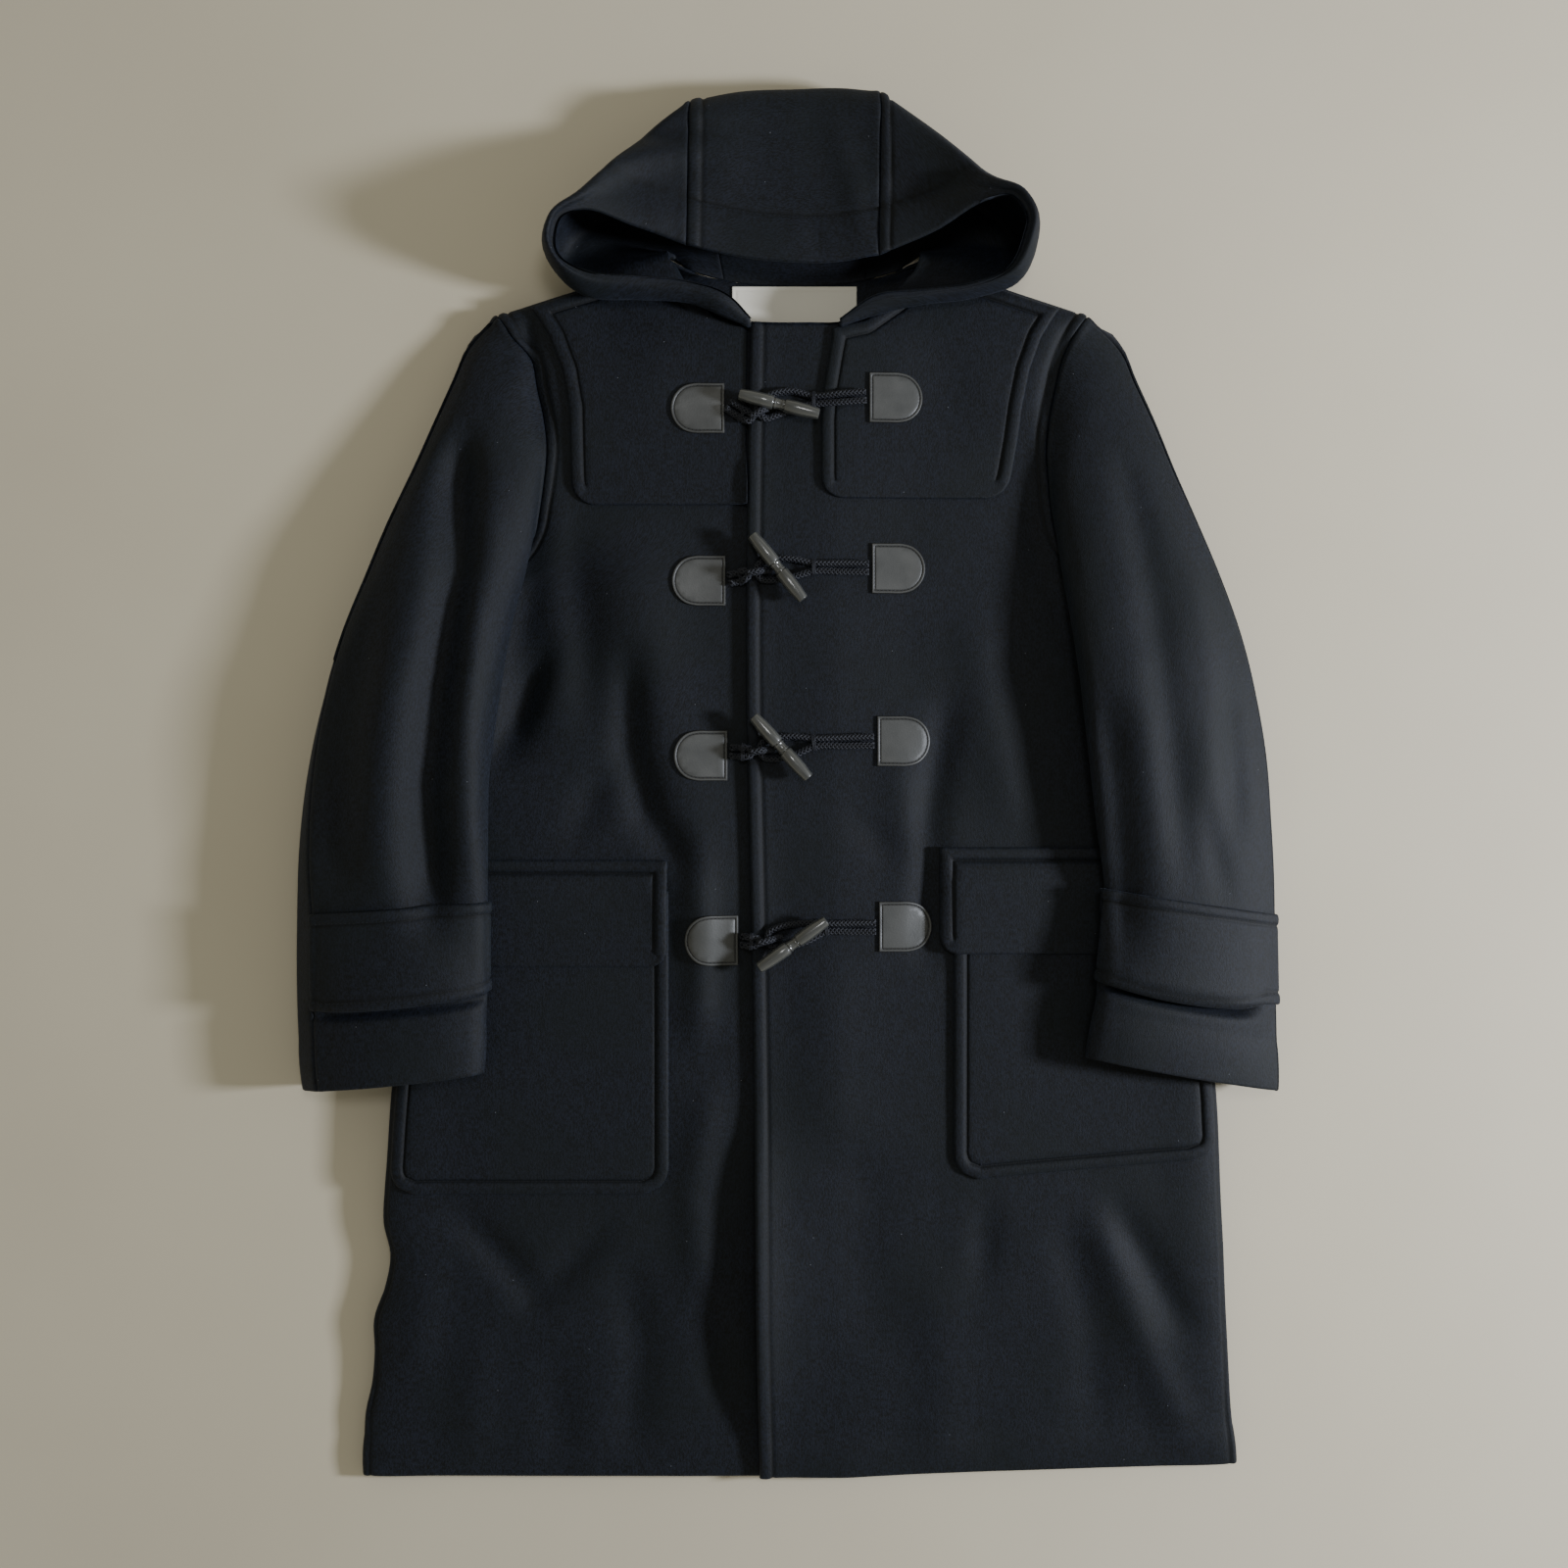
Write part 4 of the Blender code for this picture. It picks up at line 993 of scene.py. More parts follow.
    def distances(self, points: Array) -> dict[Edge, Array]:
        """Distance of each point from each edge, along the cloth.

        Args:
            points: The grid.

        Returns:
            The distances by edge.
        """
        down, over = running(points, 0), running(points, 1)
        return {
            Edge.FIRST_ROW: down,
            Edge.LAST_ROW: down[-1:] - down,
            Edge.FIRST_COLUMN: over,
            Edge.LAST_COLUMN: over[:, -1:] - over,
        }

    def area(self, points: Array) -> float:
        """Flat area of the cut, from its fine faces."""
        across, up = np.diff(points, axis=1)[:-1], np.diff(points, axis=0)[:, :-1]
        return np.linalg.norm(np.cross(across, up), axis=2).sum()

    def grain_offset(self) -> Spot:
        """A shift of the pattern, so that no two pieces share their lint."""
        return (0.37 * len(self.node), 0.11 * sum(map(ord, self.node)) % 7.0, 0.0)

    def line_inside(self, edge: Edge, inset: float) -> Array:
        """Points on the outer side along one edge, a distance inside it.

        Args:
            edge: The edge.
            inset: The distance.

        Returns:
            One point for each row or column.
        """
        points = self.outer
        if edge in (Edge.FIRST_ROW, Edge.LAST_ROW):
            points = points.transpose(1, 0, 2)
        if edge in (Edge.LAST_ROW, Edge.LAST_COLUMN):
            points = points[:, ::-1]
        run = running(points, 1)
        return np.array(
            [[np.interp(inset, run[i], row[:, k]) for k in range(3)] for i, row in enumerate(points)]
        )


Panels = dict[str, Panel]


# The body


@dataclass(frozen=True)
class Body:
    """The fronts and the back: one tube, pressed flat, that closes with a lap at the front."""

    centre: float = 0.005
    lap: float = 0.068
    underarm: float = 0.165
    shoulder: float = 0.383
    neck_point: Plan = (0.1, 0.429)
    back_neck: float = 0.411
    back_neck_bow: float = 2.5
    fold: float = 0.009
    hem: float = -0.562
    hem_rise: float = 0.01  # of the hem towards the wearer's left
    hem_span: Plan = (0.04, 0.32)  # where it starts to rise, and over what width
    edge_top: float = 0.376  # from here the front edges run straight up
    flank_x: float = 0.3  # where a side column reads the hem
    neck_ease: float = 0.45  # of the shoulder's fold, where the neckline starts

    # side seams, hem to underarm
    side_level: Row = mm(
        -562, -500, -471, -440, -415, -393, -370, -345, -330, -247, -160, -80, 0, 60, 120, 165,
    )
    side_right: Row = mm(347, 343, 336, 338, 332, 322, 326, 329.5, 328, 322, 312, 302, 289, 276, 258, 240)
    side_left: Row = mm(
        367, 360, 358.3, 356.5, 355.1, 354.2, 353.1, 351.7, 351, 347, 336, 324, 308, 293, 272, 252,
    )
    # armholes, underarm to shoulder point
    arm_level: Row = mm(165, 177, 190, 205, 223.5, 245, 268, 292, 316, 340, 360, 374, 380.5, 383)
    arm_right: Row = mm(
        240, 226, 213, 204.5, 200.5, 197, 195, 198.2, 203.5, 208.5, 223.5, 231, 235.2, 236.7,
    )
    arm_left: Row = mm(252, 237, 224, 216, 212.5, 210, 208.5, 211, 215.8, 221.5, 230, 238, 242, 243.3)
    # neckline of the fronts: distance from the centre front, and level
    neck_out: Row = mm(0, 36, 50, 65, 80, 90, 100)
    neck_level: Row = mm(374.5, 374.5, 377.5, 385, 396, 409, 429)
    # height of the fronts, the edge of the top front and its lift above the hem
    body_level: Row = mm(-562, -520, -450, -350, -200, 0, 200, 300, 360, 383, 430)
    body_rise: Row = mm(10.8, 13.5, 17.5, 20.5, 22.5, 23.5, 24, 23.5, 22, 20.5, 19)
    edge_level: Row = mm(-562, -273, -155, -76, 81, 239, 377)
    edge_x: Row = mm(-23.2, -27, -28.7, -30.3, -33.5, -32.7, -30.3)
    lift_level: Row = mm(-562, -530, -480, -420, -360, -310, -265)
    lift: Row = mm(0, 3, 11, 15, 12, 8, 0)
    lift_span: float = 0.075
    curl: float = 0.0022
    step_out: Plan = (0.0025, 0.06)

    # columns of a grid
    fold_turns: Row = (0.0, 30.0, 60.0, 90.0)
    arm_columns: Row = mm(0, 3.2, 6.6, 10.5)
    spread: Row = (0.18, 0.36, 0.54, 0.7046, 0.8, 0.9, 1.0)
    neck_column: int = 7
    placket: Row = mm(88.5, 70.5, 46.5, 22.5, 0)
    under_placket: Row = mm(78, 52, 26, 0)
    skirt_rows: int = 28
    back_neck_x: Row = mm(-75, -53, -27, 5, 37, 63, 85)

    placket_welt: Welt = Welt(*mm(10.5, 1.3, 1.2, 1.6, 1.5))
    arm_welt: Welt = Welt(*mm(8, 1, 1, 1.4, 1.4))

    relief: Relief = Relief(tuple(Crease(*mm(*row)) for row in (
        # the folds that hang from the wearer's right chest towards the pocket
        (((-126, 200), (-121, 150), (-110, 82), (-83, -20), (-70, -110)), 6, 34, 60),
        (((-212, 200), (-216, 110), (-222, 40)), -9, 22, 50),
        (((-176, 190), (-166, 130), (-160, 60)), -5.5, 18, 40),
        (((-196, 110), (-218, 58), (-232, 30)), -6, 13),
        (((-130, 100), (-128, 30), (-113, -25), (-84, -62)), -8.5, 14),
        (((-150, 10), (-172, -40)), -3.5, 14),
        (((-74, -52), (-70, -120), (-73, -200)), 6, 13),
        # under the right pocket
        (((-262, -350), (-222, -392), (-208, -414)), -6, 13),
        (((-155, -365), (-188, -398), (-208, -414)), -5.5, 13),
        (((-130, -400), (-121, -455), (-128, -530)), -4.5, 16),
        (((-290, -400), (-305, -470)), 3.5, 18),
        (((-190, -470), (-185, -545)), -3, 16),
        (((-250, -450), (-258, -540)), 3, 18),
        # the wave along the edge of the top front
        (((-64, -250), (-78, -330), (-72, -400)), 4.5, 14),
        (((-58, -420), (-52, -500)), -3.5, 13),
        # the wearer's left skirt
        (((160, -340), (158, -400)), -3, 12),
        (((250, -352), (280, -430), (318, -520)), 4.5, 15),
        (((268, -345), (300, -400), (322, -440)), -4.5, 13),
        (((226, -365), (246, -440), (250, -510)), -3, 16),
        (((120, -400), (126, -480), (122, -545)), 2.8, 22),
        (((60, -300), (64, -440)), -2.4, 24),
        (((30, -150), (34, -280)), 1.8, 24),
        # the wearer's left chest
        (((115, 345), (128, 315), (140, 290)), -4.5, 22),
        (((60, -30), (82, -55)), -3, 13),
        (((86, 20), (104, -45), (100, -85)), 2.6, 16),
        (((128, 60), (112, -30), (112, -130)), -6, 14),
        (((150, 130), (164, 50), (180, -20)), 3.2, 20),
        # the shoulders, and the strips between yoke and armhole
        (((-150, 392), (-135, 375)), -5.5, 20),
        (((-212, 374), (-203, 330), (-196, 290)), -6, 7.5, 20),
        (((-100, 350), (-120, 300)), 2, 24),
        (((226, 370), (213, 335), (206, 300)), -4.5, 6.5, 20),
        (((-188, 235), (-190, 175)), 2.6, 14),
        (((196, 235), (204, 160)), -2.6, 12),
    )))

    def hem_level(self, x: float) -> float:
        """Level of the hem, which rises towards the wearer's left."""
        start, span = self.hem_span
        return self.hem + self.hem_rise * min(max((x - start) / span, 0.0), 1.0)

    def side_x(self, side: Side, level: float) -> float:
        """Distance of the side seam or armhole from the middle at one level.

        Args:
            side: The side of the coat.
            level: The level.

        Returns:
            The distance.
        """
        left = side is Side.LEFT
        if level < self.underarm:
            return along(self.side_level, self.side_left if left else self.side_right, level)
        return along(self.arm_level, self.arm_left if left else self.arm_right, level)

    def rise(self, level: float) -> float:
        """Height of the fronts over the surface."""
        return along(self.body_level, self.body_rise, level)

    def top_level(self, x: float) -> float:
        """Level of the top edge of a front: its shoulder, then its neckline.

        Args:
            x: Place across.

        Returns:
            The level.
        """
        out = abs(x - self.centre)
        if out <= self.neck_point[0]:
            return along(self.neck_out, self.neck_level, out)
        corner = self.arm_left[-1] - self.centre if x > 0 else self.arm_right[-1] + self.centre
        share = (out - self.neck_point[0]) / (corner - self.neck_point[0])
        return self.neck_point[1] + (self.shoulder - self.neck_point[1]) * share

    def back_top_level(self, x: float) -> float:
        """Level of the top edge of the back: the shoulders and the back neck.

        Args:
            x: Place across.

        Returns:
            The level.
        """
        out = abs(x - self.centre)
        if out >= self.neck_point[0]:
            return self.top_level(x)
        rise = (out / self.neck_point[0]) ** self.back_neck_bow
        return self.back_neck + (self.neck_point[1] - self.back_neck) * rise

    def rows(self) -> list[tuple[bool, float]]:
        """Each row of the body: whether it is in the skirt, and its share or level."""
        skirt = np.linspace(0.0, 1.0, self.skirt_rows + 1)[:-1]
        return [(True, float(t)) for t in skirt] + [(False, level) for level in self.arm_level]

    def row_level(self, skirt: bool, t: float, x: float, top: Callable[[float], float]) -> float:
        """Level of a row at one x, from the hem's or the top edge's own line.

        Args:
            skirt: Whether the row is in the skirt.
            t: Its share or level.
            x: Place across.
            top: Gives the level of the top edge at a place across.

        Returns:
            The level.
        """
        if skirt:
            return self.hem_level(x) + (self.underarm - self.hem_level(x)) * t
        share = (t - self.underarm) / (self.shoulder - self.underarm)
        return self.underarm + (top(x) - self.underarm) * share

    def fold_columns(self, side: Side, skirt: bool, t: float) -> list[Plan]:
        """The columns at the side: x, and the sine of the turn round the side fold.

        Args:
            side: The side of the coat.
            skirt: Whether the row is in the skirt.
            t: Its share or level.

        Returns:
            A pair for each column.
        """
        level = self.row_level(True, t, side.sign * self.flank_x, self.top_level) if skirt else t
        edge = side.sign * self.side_x(side, level)
        if skirt or t == self.underarm:
            inset = side.sign * self.fold
            angles = [math.radians(a) for a in self.fold_turns]
            return [(edge - inset * (1 - math.cos(a)), math.sin(a)) for a in angles]
        return [(edge - side.sign * inset, 1.0) for inset in self.arm_columns]

    def outer_point(
        self, row: tuple[bool, float], spot: Plan, sine: float, shoulder: float, way: int
    ) -> list[float]:
        """One outer point of the body.

        Args:
            row: Whether the row is in the skirt, and its share or level.
            spot: The point's place in plan.
            sine: Sine of the turn round the side fold.
            shoulder: How much of the shoulder's fold the column has.
            way: 1 on the front and -1 on the back.

        Returns:
            The point.
        """
        skirt, t = row
        down = min(max((self.shoulder - t) / self.fold, 0.0), 1.0)
        over = math.pi / 2 if skirt else math.acos(1.0 - down)
        over += (math.pi / 2 - over) * (1 - shoulder)
        middle = self.rise(spot[1]) / 2
        return [*spot, middle + middle * (way * sine * math.sin(over))]

    def front_grid(self, side: Side) -> Array:
        """Outer points of one front. Rows run up, columns from side to front edge.

        Args:
            side: The side of the coat.

        Returns:
            Rows x columns x 3 points.
        """
        outer = []
        for skirt, t in self.rows():
            columns = self.fold_columns(side, skirt, t)
            guess = self.row_level(True, t, 0.0, self.top_level) if skirt else t
            edge = along(self.edge_level, self.edge_x, min(guess, self.edge_top))
            if side is Side.LEFT:
                placket = [edge + offset for offset in self.placket]
            else:
                placket = [edge + self.lap - offset for offset in self.under_placket]
            start = columns[-1][0]
            columns += [(start + (placket[0] - start) * share, 1.0) for share in self.spread]
            columns += [(x, 1.0) for x in placket[1:]]
            points = []
            for number, (x, sine) in enumerate(columns):
                y = self.row_level(skirt, t, x, self.top_level)
                shoulder = {0: 1.0, 1: self.neck_ease}.get(max(number - self.neck_column, 0), 0.0)
                point = self.outer_point((skirt, t), (x, y), sine, shoulder, 1)
                if side is Side.LEFT:
                    point[2] += self.lap_height(x, y, edge)
                points.append(point)
            outer.append(points)
        return np.array(outer)

    def lap_height(self, x: float, y: float, edge: float) -> float:
        """How far the top front stands over its own plane: it lies on the under front.

        Args:
            x: Place across.
            y: Place along.
            edge: Place of the front's edge across.

        Returns:
            The height.
        """
        past = (x - edge - self.lap - self.step_out[0]) / self.step_out[1]
        step = (CLOTH + 2 * LIE) * min(max(1.0 - past, 0.0), 1.0)
        lift = along(self.lift_level, self.lift, y) if y < self.lift_level[-1] else 0.0
        curl = self.curl * max(0.0, 1.0 - (x - edge) / self.placket[-2])
        return step + curl + lift * max(0.0, 1.0 - (x - edge) / self.lift_span) ** 2

    def back_grid(self) -> Array:
        """Outer points of the back. Columns run from the wearer's right to left.

        Returns:
            Rows x columns x 3 points.
        """
        last = len(self.back_neck_x) - 1
        middle = [
            (x, 1.0, 0.0 if 0 < number < last else self.neck_ease)
            for number, x in enumerate(self.back_neck_x)
        ]
        outer = []
        for row in self.rows():
            halves = []
            for side in Side:
                end = self.centre + side.sign * self.neck_point[0]
                folds = self.fold_columns(side, *row)
                start, whole = folds[-1][0], self.spread[3]
                spread = [(start + (end - start) * s / whole, 1.0) for s in self.spread[:4]]
                halves.append([(*column, 1.0) for column in folds + spread])
            points = []
            for x, sine, shoulder in halves[0] + middle + halves[1][::-1]:
                y = self.row_level(*row, x, self.back_top_level)
                points.append(self.outer_point(row, (x, y), sine, shoulder, -1))
            outer.append(points)
        return np.array(outer)

    def build(self) -> tuple[Grids, Panels, Ground]:
        """Lay out the back and both fronts.

        Returns:
            The coarse grids, the fronts' panels and the ground that the fronts make.
        """
        grids = {
            "back": self.back_grid(),
            "right": self.front_grid(Side.RIGHT),
            "left": self.front_grid(Side.LEFT),
        }
        relief = (self.relief,)
        Panel("back", grids["back"][:, ::-1], cell=0.01, reliefs=relief,
              welts={Edge.FIRST_ROW: HEM}).lay()
        panels = {
            "right": Panel("front_right", grids["right"], reliefs=relief,
                           welts={Edge.FIRST_ROW: HEM, Edge.FIRST_COLUMN: self.arm_welt},
                           fine=(Edge.FIRST_ROW, Edge.FIRST_COLUMN), rests_on=("back",)),
            "left": Panel("front_left", grids["left"][:, ::-1], reliefs=relief,
                          welts={Edge.FIRST_ROW: HEM, Edge.FIRST_COLUMN: self.placket_welt,
                                 Edge.LAST_COLUMN: self.arm_welt},
                          fine=(Edge.FIRST_ROW, Edge.FIRST_COLUMN, Edge.LAST_COLUMN),
                          rests_on=("back", "front_right")),
        }
        ground = Ground().add(*(panel.lay() for panel in panels.values()))
        return grids, panels, ground


# The sleeves


@dataclass(frozen=True)
class Ring:
    """One ring of a sleeve below the armhole.

    Attributes:
        out: Its outer fold in plan.
        fold: Its inner fold in plan.
        top: Its height.
        over: Level where it crosses the side seam.
    """

    out: Plan
    fold: Plan
    top: float
    over: float


@dataclass(frozen=True)
class Sleeves:
    """Two-piece sleeves that lie beside and on the body, with a strap round each cuff."""

    rings_right: tuple[Ring, ...] = tuple(Ring(*mm(*row)) for row in (
        ((260, 358.5), (208.5, 188), 37, 158),
        ((271.5, 330), (214, 166), 45, 151),
        ((285, 296), (220, 143), 52, 143),
        ((301, 255), (225, 118), 58, 134),
        ((319, 215), (229, 93), 63, 124),
        ((338, 168), (233, 66), 66, 97.6),
        ((357, 121), (236.5, 38), 68, 64.6),
        ((372, 73), (239, 8), 68, 29.6),
        ((384, 24), (240, -25), 66, -7.7),
        ((392, -25), (240, -56), 63, -44.4),
        ((395.5, -66), (240, -76), 62, -72.1),
        ((396.5, -102), (240, -91), 61, -95.5),
        ((397, -140), (240.5, -126), 60, -132.1),
        ((396.5, -178), (241, -162), 59, -169.4),
        ((395, -212), (242.5, -196), 57, -203.9),
        ((392.5, -245), (244, -229), 55, -237.3),
    ))
    rings_left: tuple[Ring, ...] = tuple(Ring(*mm(*row)) for row in (
        ((271.5, 356.5), (217, 190), 37, 158),
        ((282, 330), (219, 170), 44, 152),
        ((296, 296), (222.5, 148), 51, 146),
        ((311, 255), (226.5, 122), 57, 139),
        ((328, 215), (230, 95), 62, 131),
        ((347.5, 168), (233.5, 66), 65, 107.3),
        ((364, 121), (237, 36), 66, 73),
        ((375.5, 73), (240.5, 4), 66, 35.7),
        ((384, 24), (244, -26), 64, -2),
        ((388, -25), (247.5, -53), 62, -38.9),
        ((390.5, -65), (249.5, -68), 61, -66.4),
        ((391.5, -102), (250.5, -80), 60, -92),
        ((392, -138), (249, -116), 59, -128.9),
        ((392.5, -175), (246, -152), 58, -166.5),
        ((393.5, -208), (241, -185), 56, -200.3),
        ((395, -245), (236, -215), 54, -233),
    ))
    across: Row = (0.004, 0.06, 0.16, 0.29, 0.43, 0.58, 0.73, 0.87, 0.965, 1.0)
    on_body: Row = (0.1, 0.38, 0.7, 1.0)
    on_floor: Row = (0.0, 0.09, 0.18, 0.27, 0.36, 0.45, 0.54, 0.63, 0.72, 0.8, 0.88, 0.94, 0.985)
    bows: Row = (0.9, 0.75, 0.55, 0.35, 0.15)  # how much of the armhole's bow each ring keeps
    bow_in: Plan = (0.35, 0.5)  # how soon the bow comes in along the floor
    inside: float = 0.002
    outside: Plan = (0.014, 0.002)  # out and down from the side seam
    body_rise: float = 0.0015  # of the underside, from the inner fold to the side seam
    body_roll: int = 6  # steepness of the roll over the body
    underarm_inside: float = 0.006
    underarm_out: Plan = (0.0098, 0.005)  # where the sleeve meets the floor, from the underarm
    hidden_rows: int = 3
    turn_lift: float = 3 * LIE  # where the ring turns from the front to the body
    out_share: float = 0.45  # height of the outer fold, of the sleeve's
    least_stand: float = 0.006
    fullness: float = 0.7  # the lower, the flatter the top and the steeper its sides
    settle_rings: int = 4
    floor_roll: Plan = (0.032, 2.2)  # reach and steepness of the roll under it
    seam_at_cuff: Plan = (0.115, 0.004)  # on the wearer's right and left
    crest: Plan = (1.5, 2.1)  # how far each sleeve's crest leans to the body
    stand: Plan = (0.3, 0.56)  # how high each inner fold stands, of the sleeve's height
    seam_rings: tuple[int, int] = (7, 12)
    forearm_seam: int = 13
    strap_rows: tuple[int, int] = (12, 15)
    strap_lift: float = 0.007
    strap_bow: float = 0.8  # the lower, the nearer the ends it comes up
    strap_held: float = 0.15  # of its lift, at its upper edge
    strap_gap: float = 0.0004
    support_reach: float = 0.01
    fine_band: float = 0.1  # of small faces, at the armhole and the cuff

    hem: Welt = Welt(*mm(40, 1, 0, 1.4))
    strap_welt: Welt = Welt(*mm(9.5, 0.8, 1, 1.6, 1.3))

    relief: Relief = Relief(tuple(Crease(*mm(*row)) for row in (
        # down the wearer's right sleeve
        (((-270, 330), (-262, 250), (-262, 170), (-276, 80), (-285, 0), (-282, -100)), -19, 18, 40),
        (((-330, 140), (-350, 40), (-356, -70)), -5, 16, 40),
        (((-246, 160), (-252, 60), (-250, -60)), 3.5, 12),
        (((-312, 90), (-322, 0), (-320, -80)), 3, 16),
        # down the wearer's left sleeve
        (((262, 290), (276, 220), (288, 140), (300, 40), (312, -60)), -4.5, 14, 40),
        (((250, 60), (258, 0), (262, -60), (264, -120)), -8, 16),
        (((320, 180), (336, 80), (338, 0)), 3, 16, 40),
        (((345, 80), (356, -30)), -4, 12),
        (((330, -20), (345, -85)), -2.5, 10),
        # the cloth sinks under the lower edge of each strap
        (((-420, -186), (-368, -181), (-280, -173), (-226, -165)), -6.5, 5, 30),
        (((262, -159), (304, -167), (350, -175), (394, -181), (450, -190)), -14, 5.5, 60),
    )), swells=mm((70, 0.9), (30, 0.4)), low=0.036, high=0.05, seed=11)

    def rings(self, side: Side) -> tuple[Ring, ...]:
        """The rings of one sleeve."""
        return self.rings_left if side is Side.LEFT else self.rings_right

    def first_ring(self, side: Side, grids: Grids, body: Body) -> Array:
        """The armhole's ring: down the front, round the underarm, up the back.

        Args:
            side: The side of the coat.
            grids: The outer points of the back and the fronts.
            body: The body's sizes.

        Returns:
            The ring's points.
        """
        at = 0 if side is Side.RIGHT else -1
        front = grids[side.value][body.skirt_rows :, 0]
        back = grids["back"][body.skirt_rows :, at]
        points = list(front[: self.hidden_rows : -1])
        turn = front[self.hidden_rows]
        points.append(turn + (0, 0, self.turn_lift))
        underarm = front[0]
        on_top = underarm + (-side.sign * self.underarm_inside, self.underarm_inside, 0)
        on_top[2] = front[1][2] + CLOTH / 2
        for share in self.on_body:
            points.append(turn + (on_top - turn) * share + (-side.sign * LIE, 0, 2 * LIE))
        out, down = self.underarm_out
        points.append(np.array([underarm[0] + side.sign * out, underarm[1] - down, 0.0]))
        return np.array(points + list(back[1:-1]))

    def across_ring(self, side: Side, number: int) -> list[float]:
        """Shares across the top of one ring; its second column is the back seam.

        Args:
            side: The side of the coat.
            number: Number of the ring, from the armhole.

        Returns:
            A share for each column.
        """
        first, last = self.seam_rings
        come = min(max((number - first) / (last - first), 0.0), 1.0)
        start = self.across[0]
        seam = start + (self.seam_at_cuff[side is Side.LEFT] - start) * come
        return [0.0, *(seam + (1 - seam) * (s - start) / (1 - start) for s in self.across)]

    def grid(self, side: Side, grids: Grids, body: Body, below: Ground) -> Array:
        """Outer points of one sleeve. Rows run to the cuff, columns round the arm.

        Args:
            side: The side of the coat.
            grids: The outer points of the back and the fronts.
            body: The body's sizes.
            below: What the sleeve lies on.

        Returns:
            Rows x columns x 3 points.
        """
        start = self.first_ring(side, grids, body)
        turn = len(self.across)
        floor = turn + 1 + len(self.on_body)
        rings = (0.5, 1.0)
        outer = [start]
        for number, ring in enumerate(self.rings(side), 1):
            out = np.array([side.sign * ring.out[0], ring.out[1]])
            fold = np.array([side.sign * ring.fold[0], ring.fold[1]])
            bow = self.bows[number - 1] if number <= len(self.bows) else 0.0
            ground = below.height(*fold, self.support_reach, rings)
            settle = min(1.0, number / self.settle_rings)
            out_z = body.rise(body.shoulder) / 2 * (1 - settle) + self.out_share * ring.top * settle
            fold_z = ground + max(self.least_stand, self.stand[side is Side.LEFT] * (ring.top - ground))
            points = []
            for column, share in enumerate(self.across_ring(side, number)):
                chord = start[0, :2] + (start[turn, :2] - start[0, :2]) * share
                x, y = out + (fold - out) * share + (start[column, :2] - chord) * bow
                lean = share ** self.crest[side is Side.LEFT]
                sine = 2 * math.sqrt(lean * (1 - lean))
                level = out_z + (fold_z - out_z) * share
                points.append((x, y, level + (ring.top - level) * sine**self.fullness))
            edge = side.sign * body.side_x(side, ring.over)
            inside = np.array([edge - side.sign * self.inside, ring.over])
            for share in self.on_body:
                x, y = fold + (inside - fold) * share
                low = below.height(x, y, self.support_reach, rings) + LIE + self.body_rise * share
                points.append((x, y, low + max(fold_z - low, 0.0) * (1 - share) ** self.body_roll))
            outside = np.array([edge + side.sign * self.outside[0], ring.over - self.outside[1]])
            for column, share in enumerate(self.on_floor, floor):
                base = (column - floor) / len(self.on_floor)
                chord = start[floor, :2] + (start[0, :2] - start[floor, :2]) * base
                ease = bow * min(1.0, base / self.bow_in[0]) ** self.bow_in[1]
                x, y = outside + (out - outside) * share + (start[column, :2] - chord) * ease
                away = min(1.0, math.dist((x, y), out) / self.floor_roll[0])
                points.append((x, y, out_z * (1 - away) ** self.floor_roll[1]))
            outer.append(np.array(points))
        return np.array(outer)

    def kept_clear(self, below: Ground) -> Callable[[Array], Array]:
        """A change that lifts a sleeve's underside off the finished cloth below it.

        Args:
            below: The finished cloth.

        Returns:
            The change of a grid of points.
        """
        facing_down, on_floor, nearest = -0.2, 0.012, 0.006

        def lift(points: Array) -> Array:
            """Lift the points that face down and touch.

            Args:
                points: The grid.

            Returns:
                The moved grid.
            """
            points = points.copy()
            facing = across_normals(points)[..., 2]
            for row, column in zip(*np.nonzero((facing < facing_down) & (points[..., 2] > on_floor))):
                x, y, z = points[row, column]
                floor = below.height(x, y) + LIE
                if floor - nearest < z < floor:
                    points[row, column, 2] = floor
            return points

        return lift

    def strap_shape(self, points: Array) -> Array:
        """Stand a strap off its sleeve, most of all at the middle of its lower edge.

        Args:
            points: The grid.

        Returns:
            The moved grid.
        """
        down = running(points, 0) / running(points, 0)[-1:]
        over = running(points, 1) / running(points, 1)[:, -1:]
        stand = np.sin(math.pi * np.clip(over, 0, 1)) ** self.strap_bow
        stand = stand * (self.strap_held + (1 - self.strap_held) * down**2)
        off = LIE + CLOTH + self.strap_gap + self.strap_lift * stand
        return points + across_normals(points) * off[..., None]

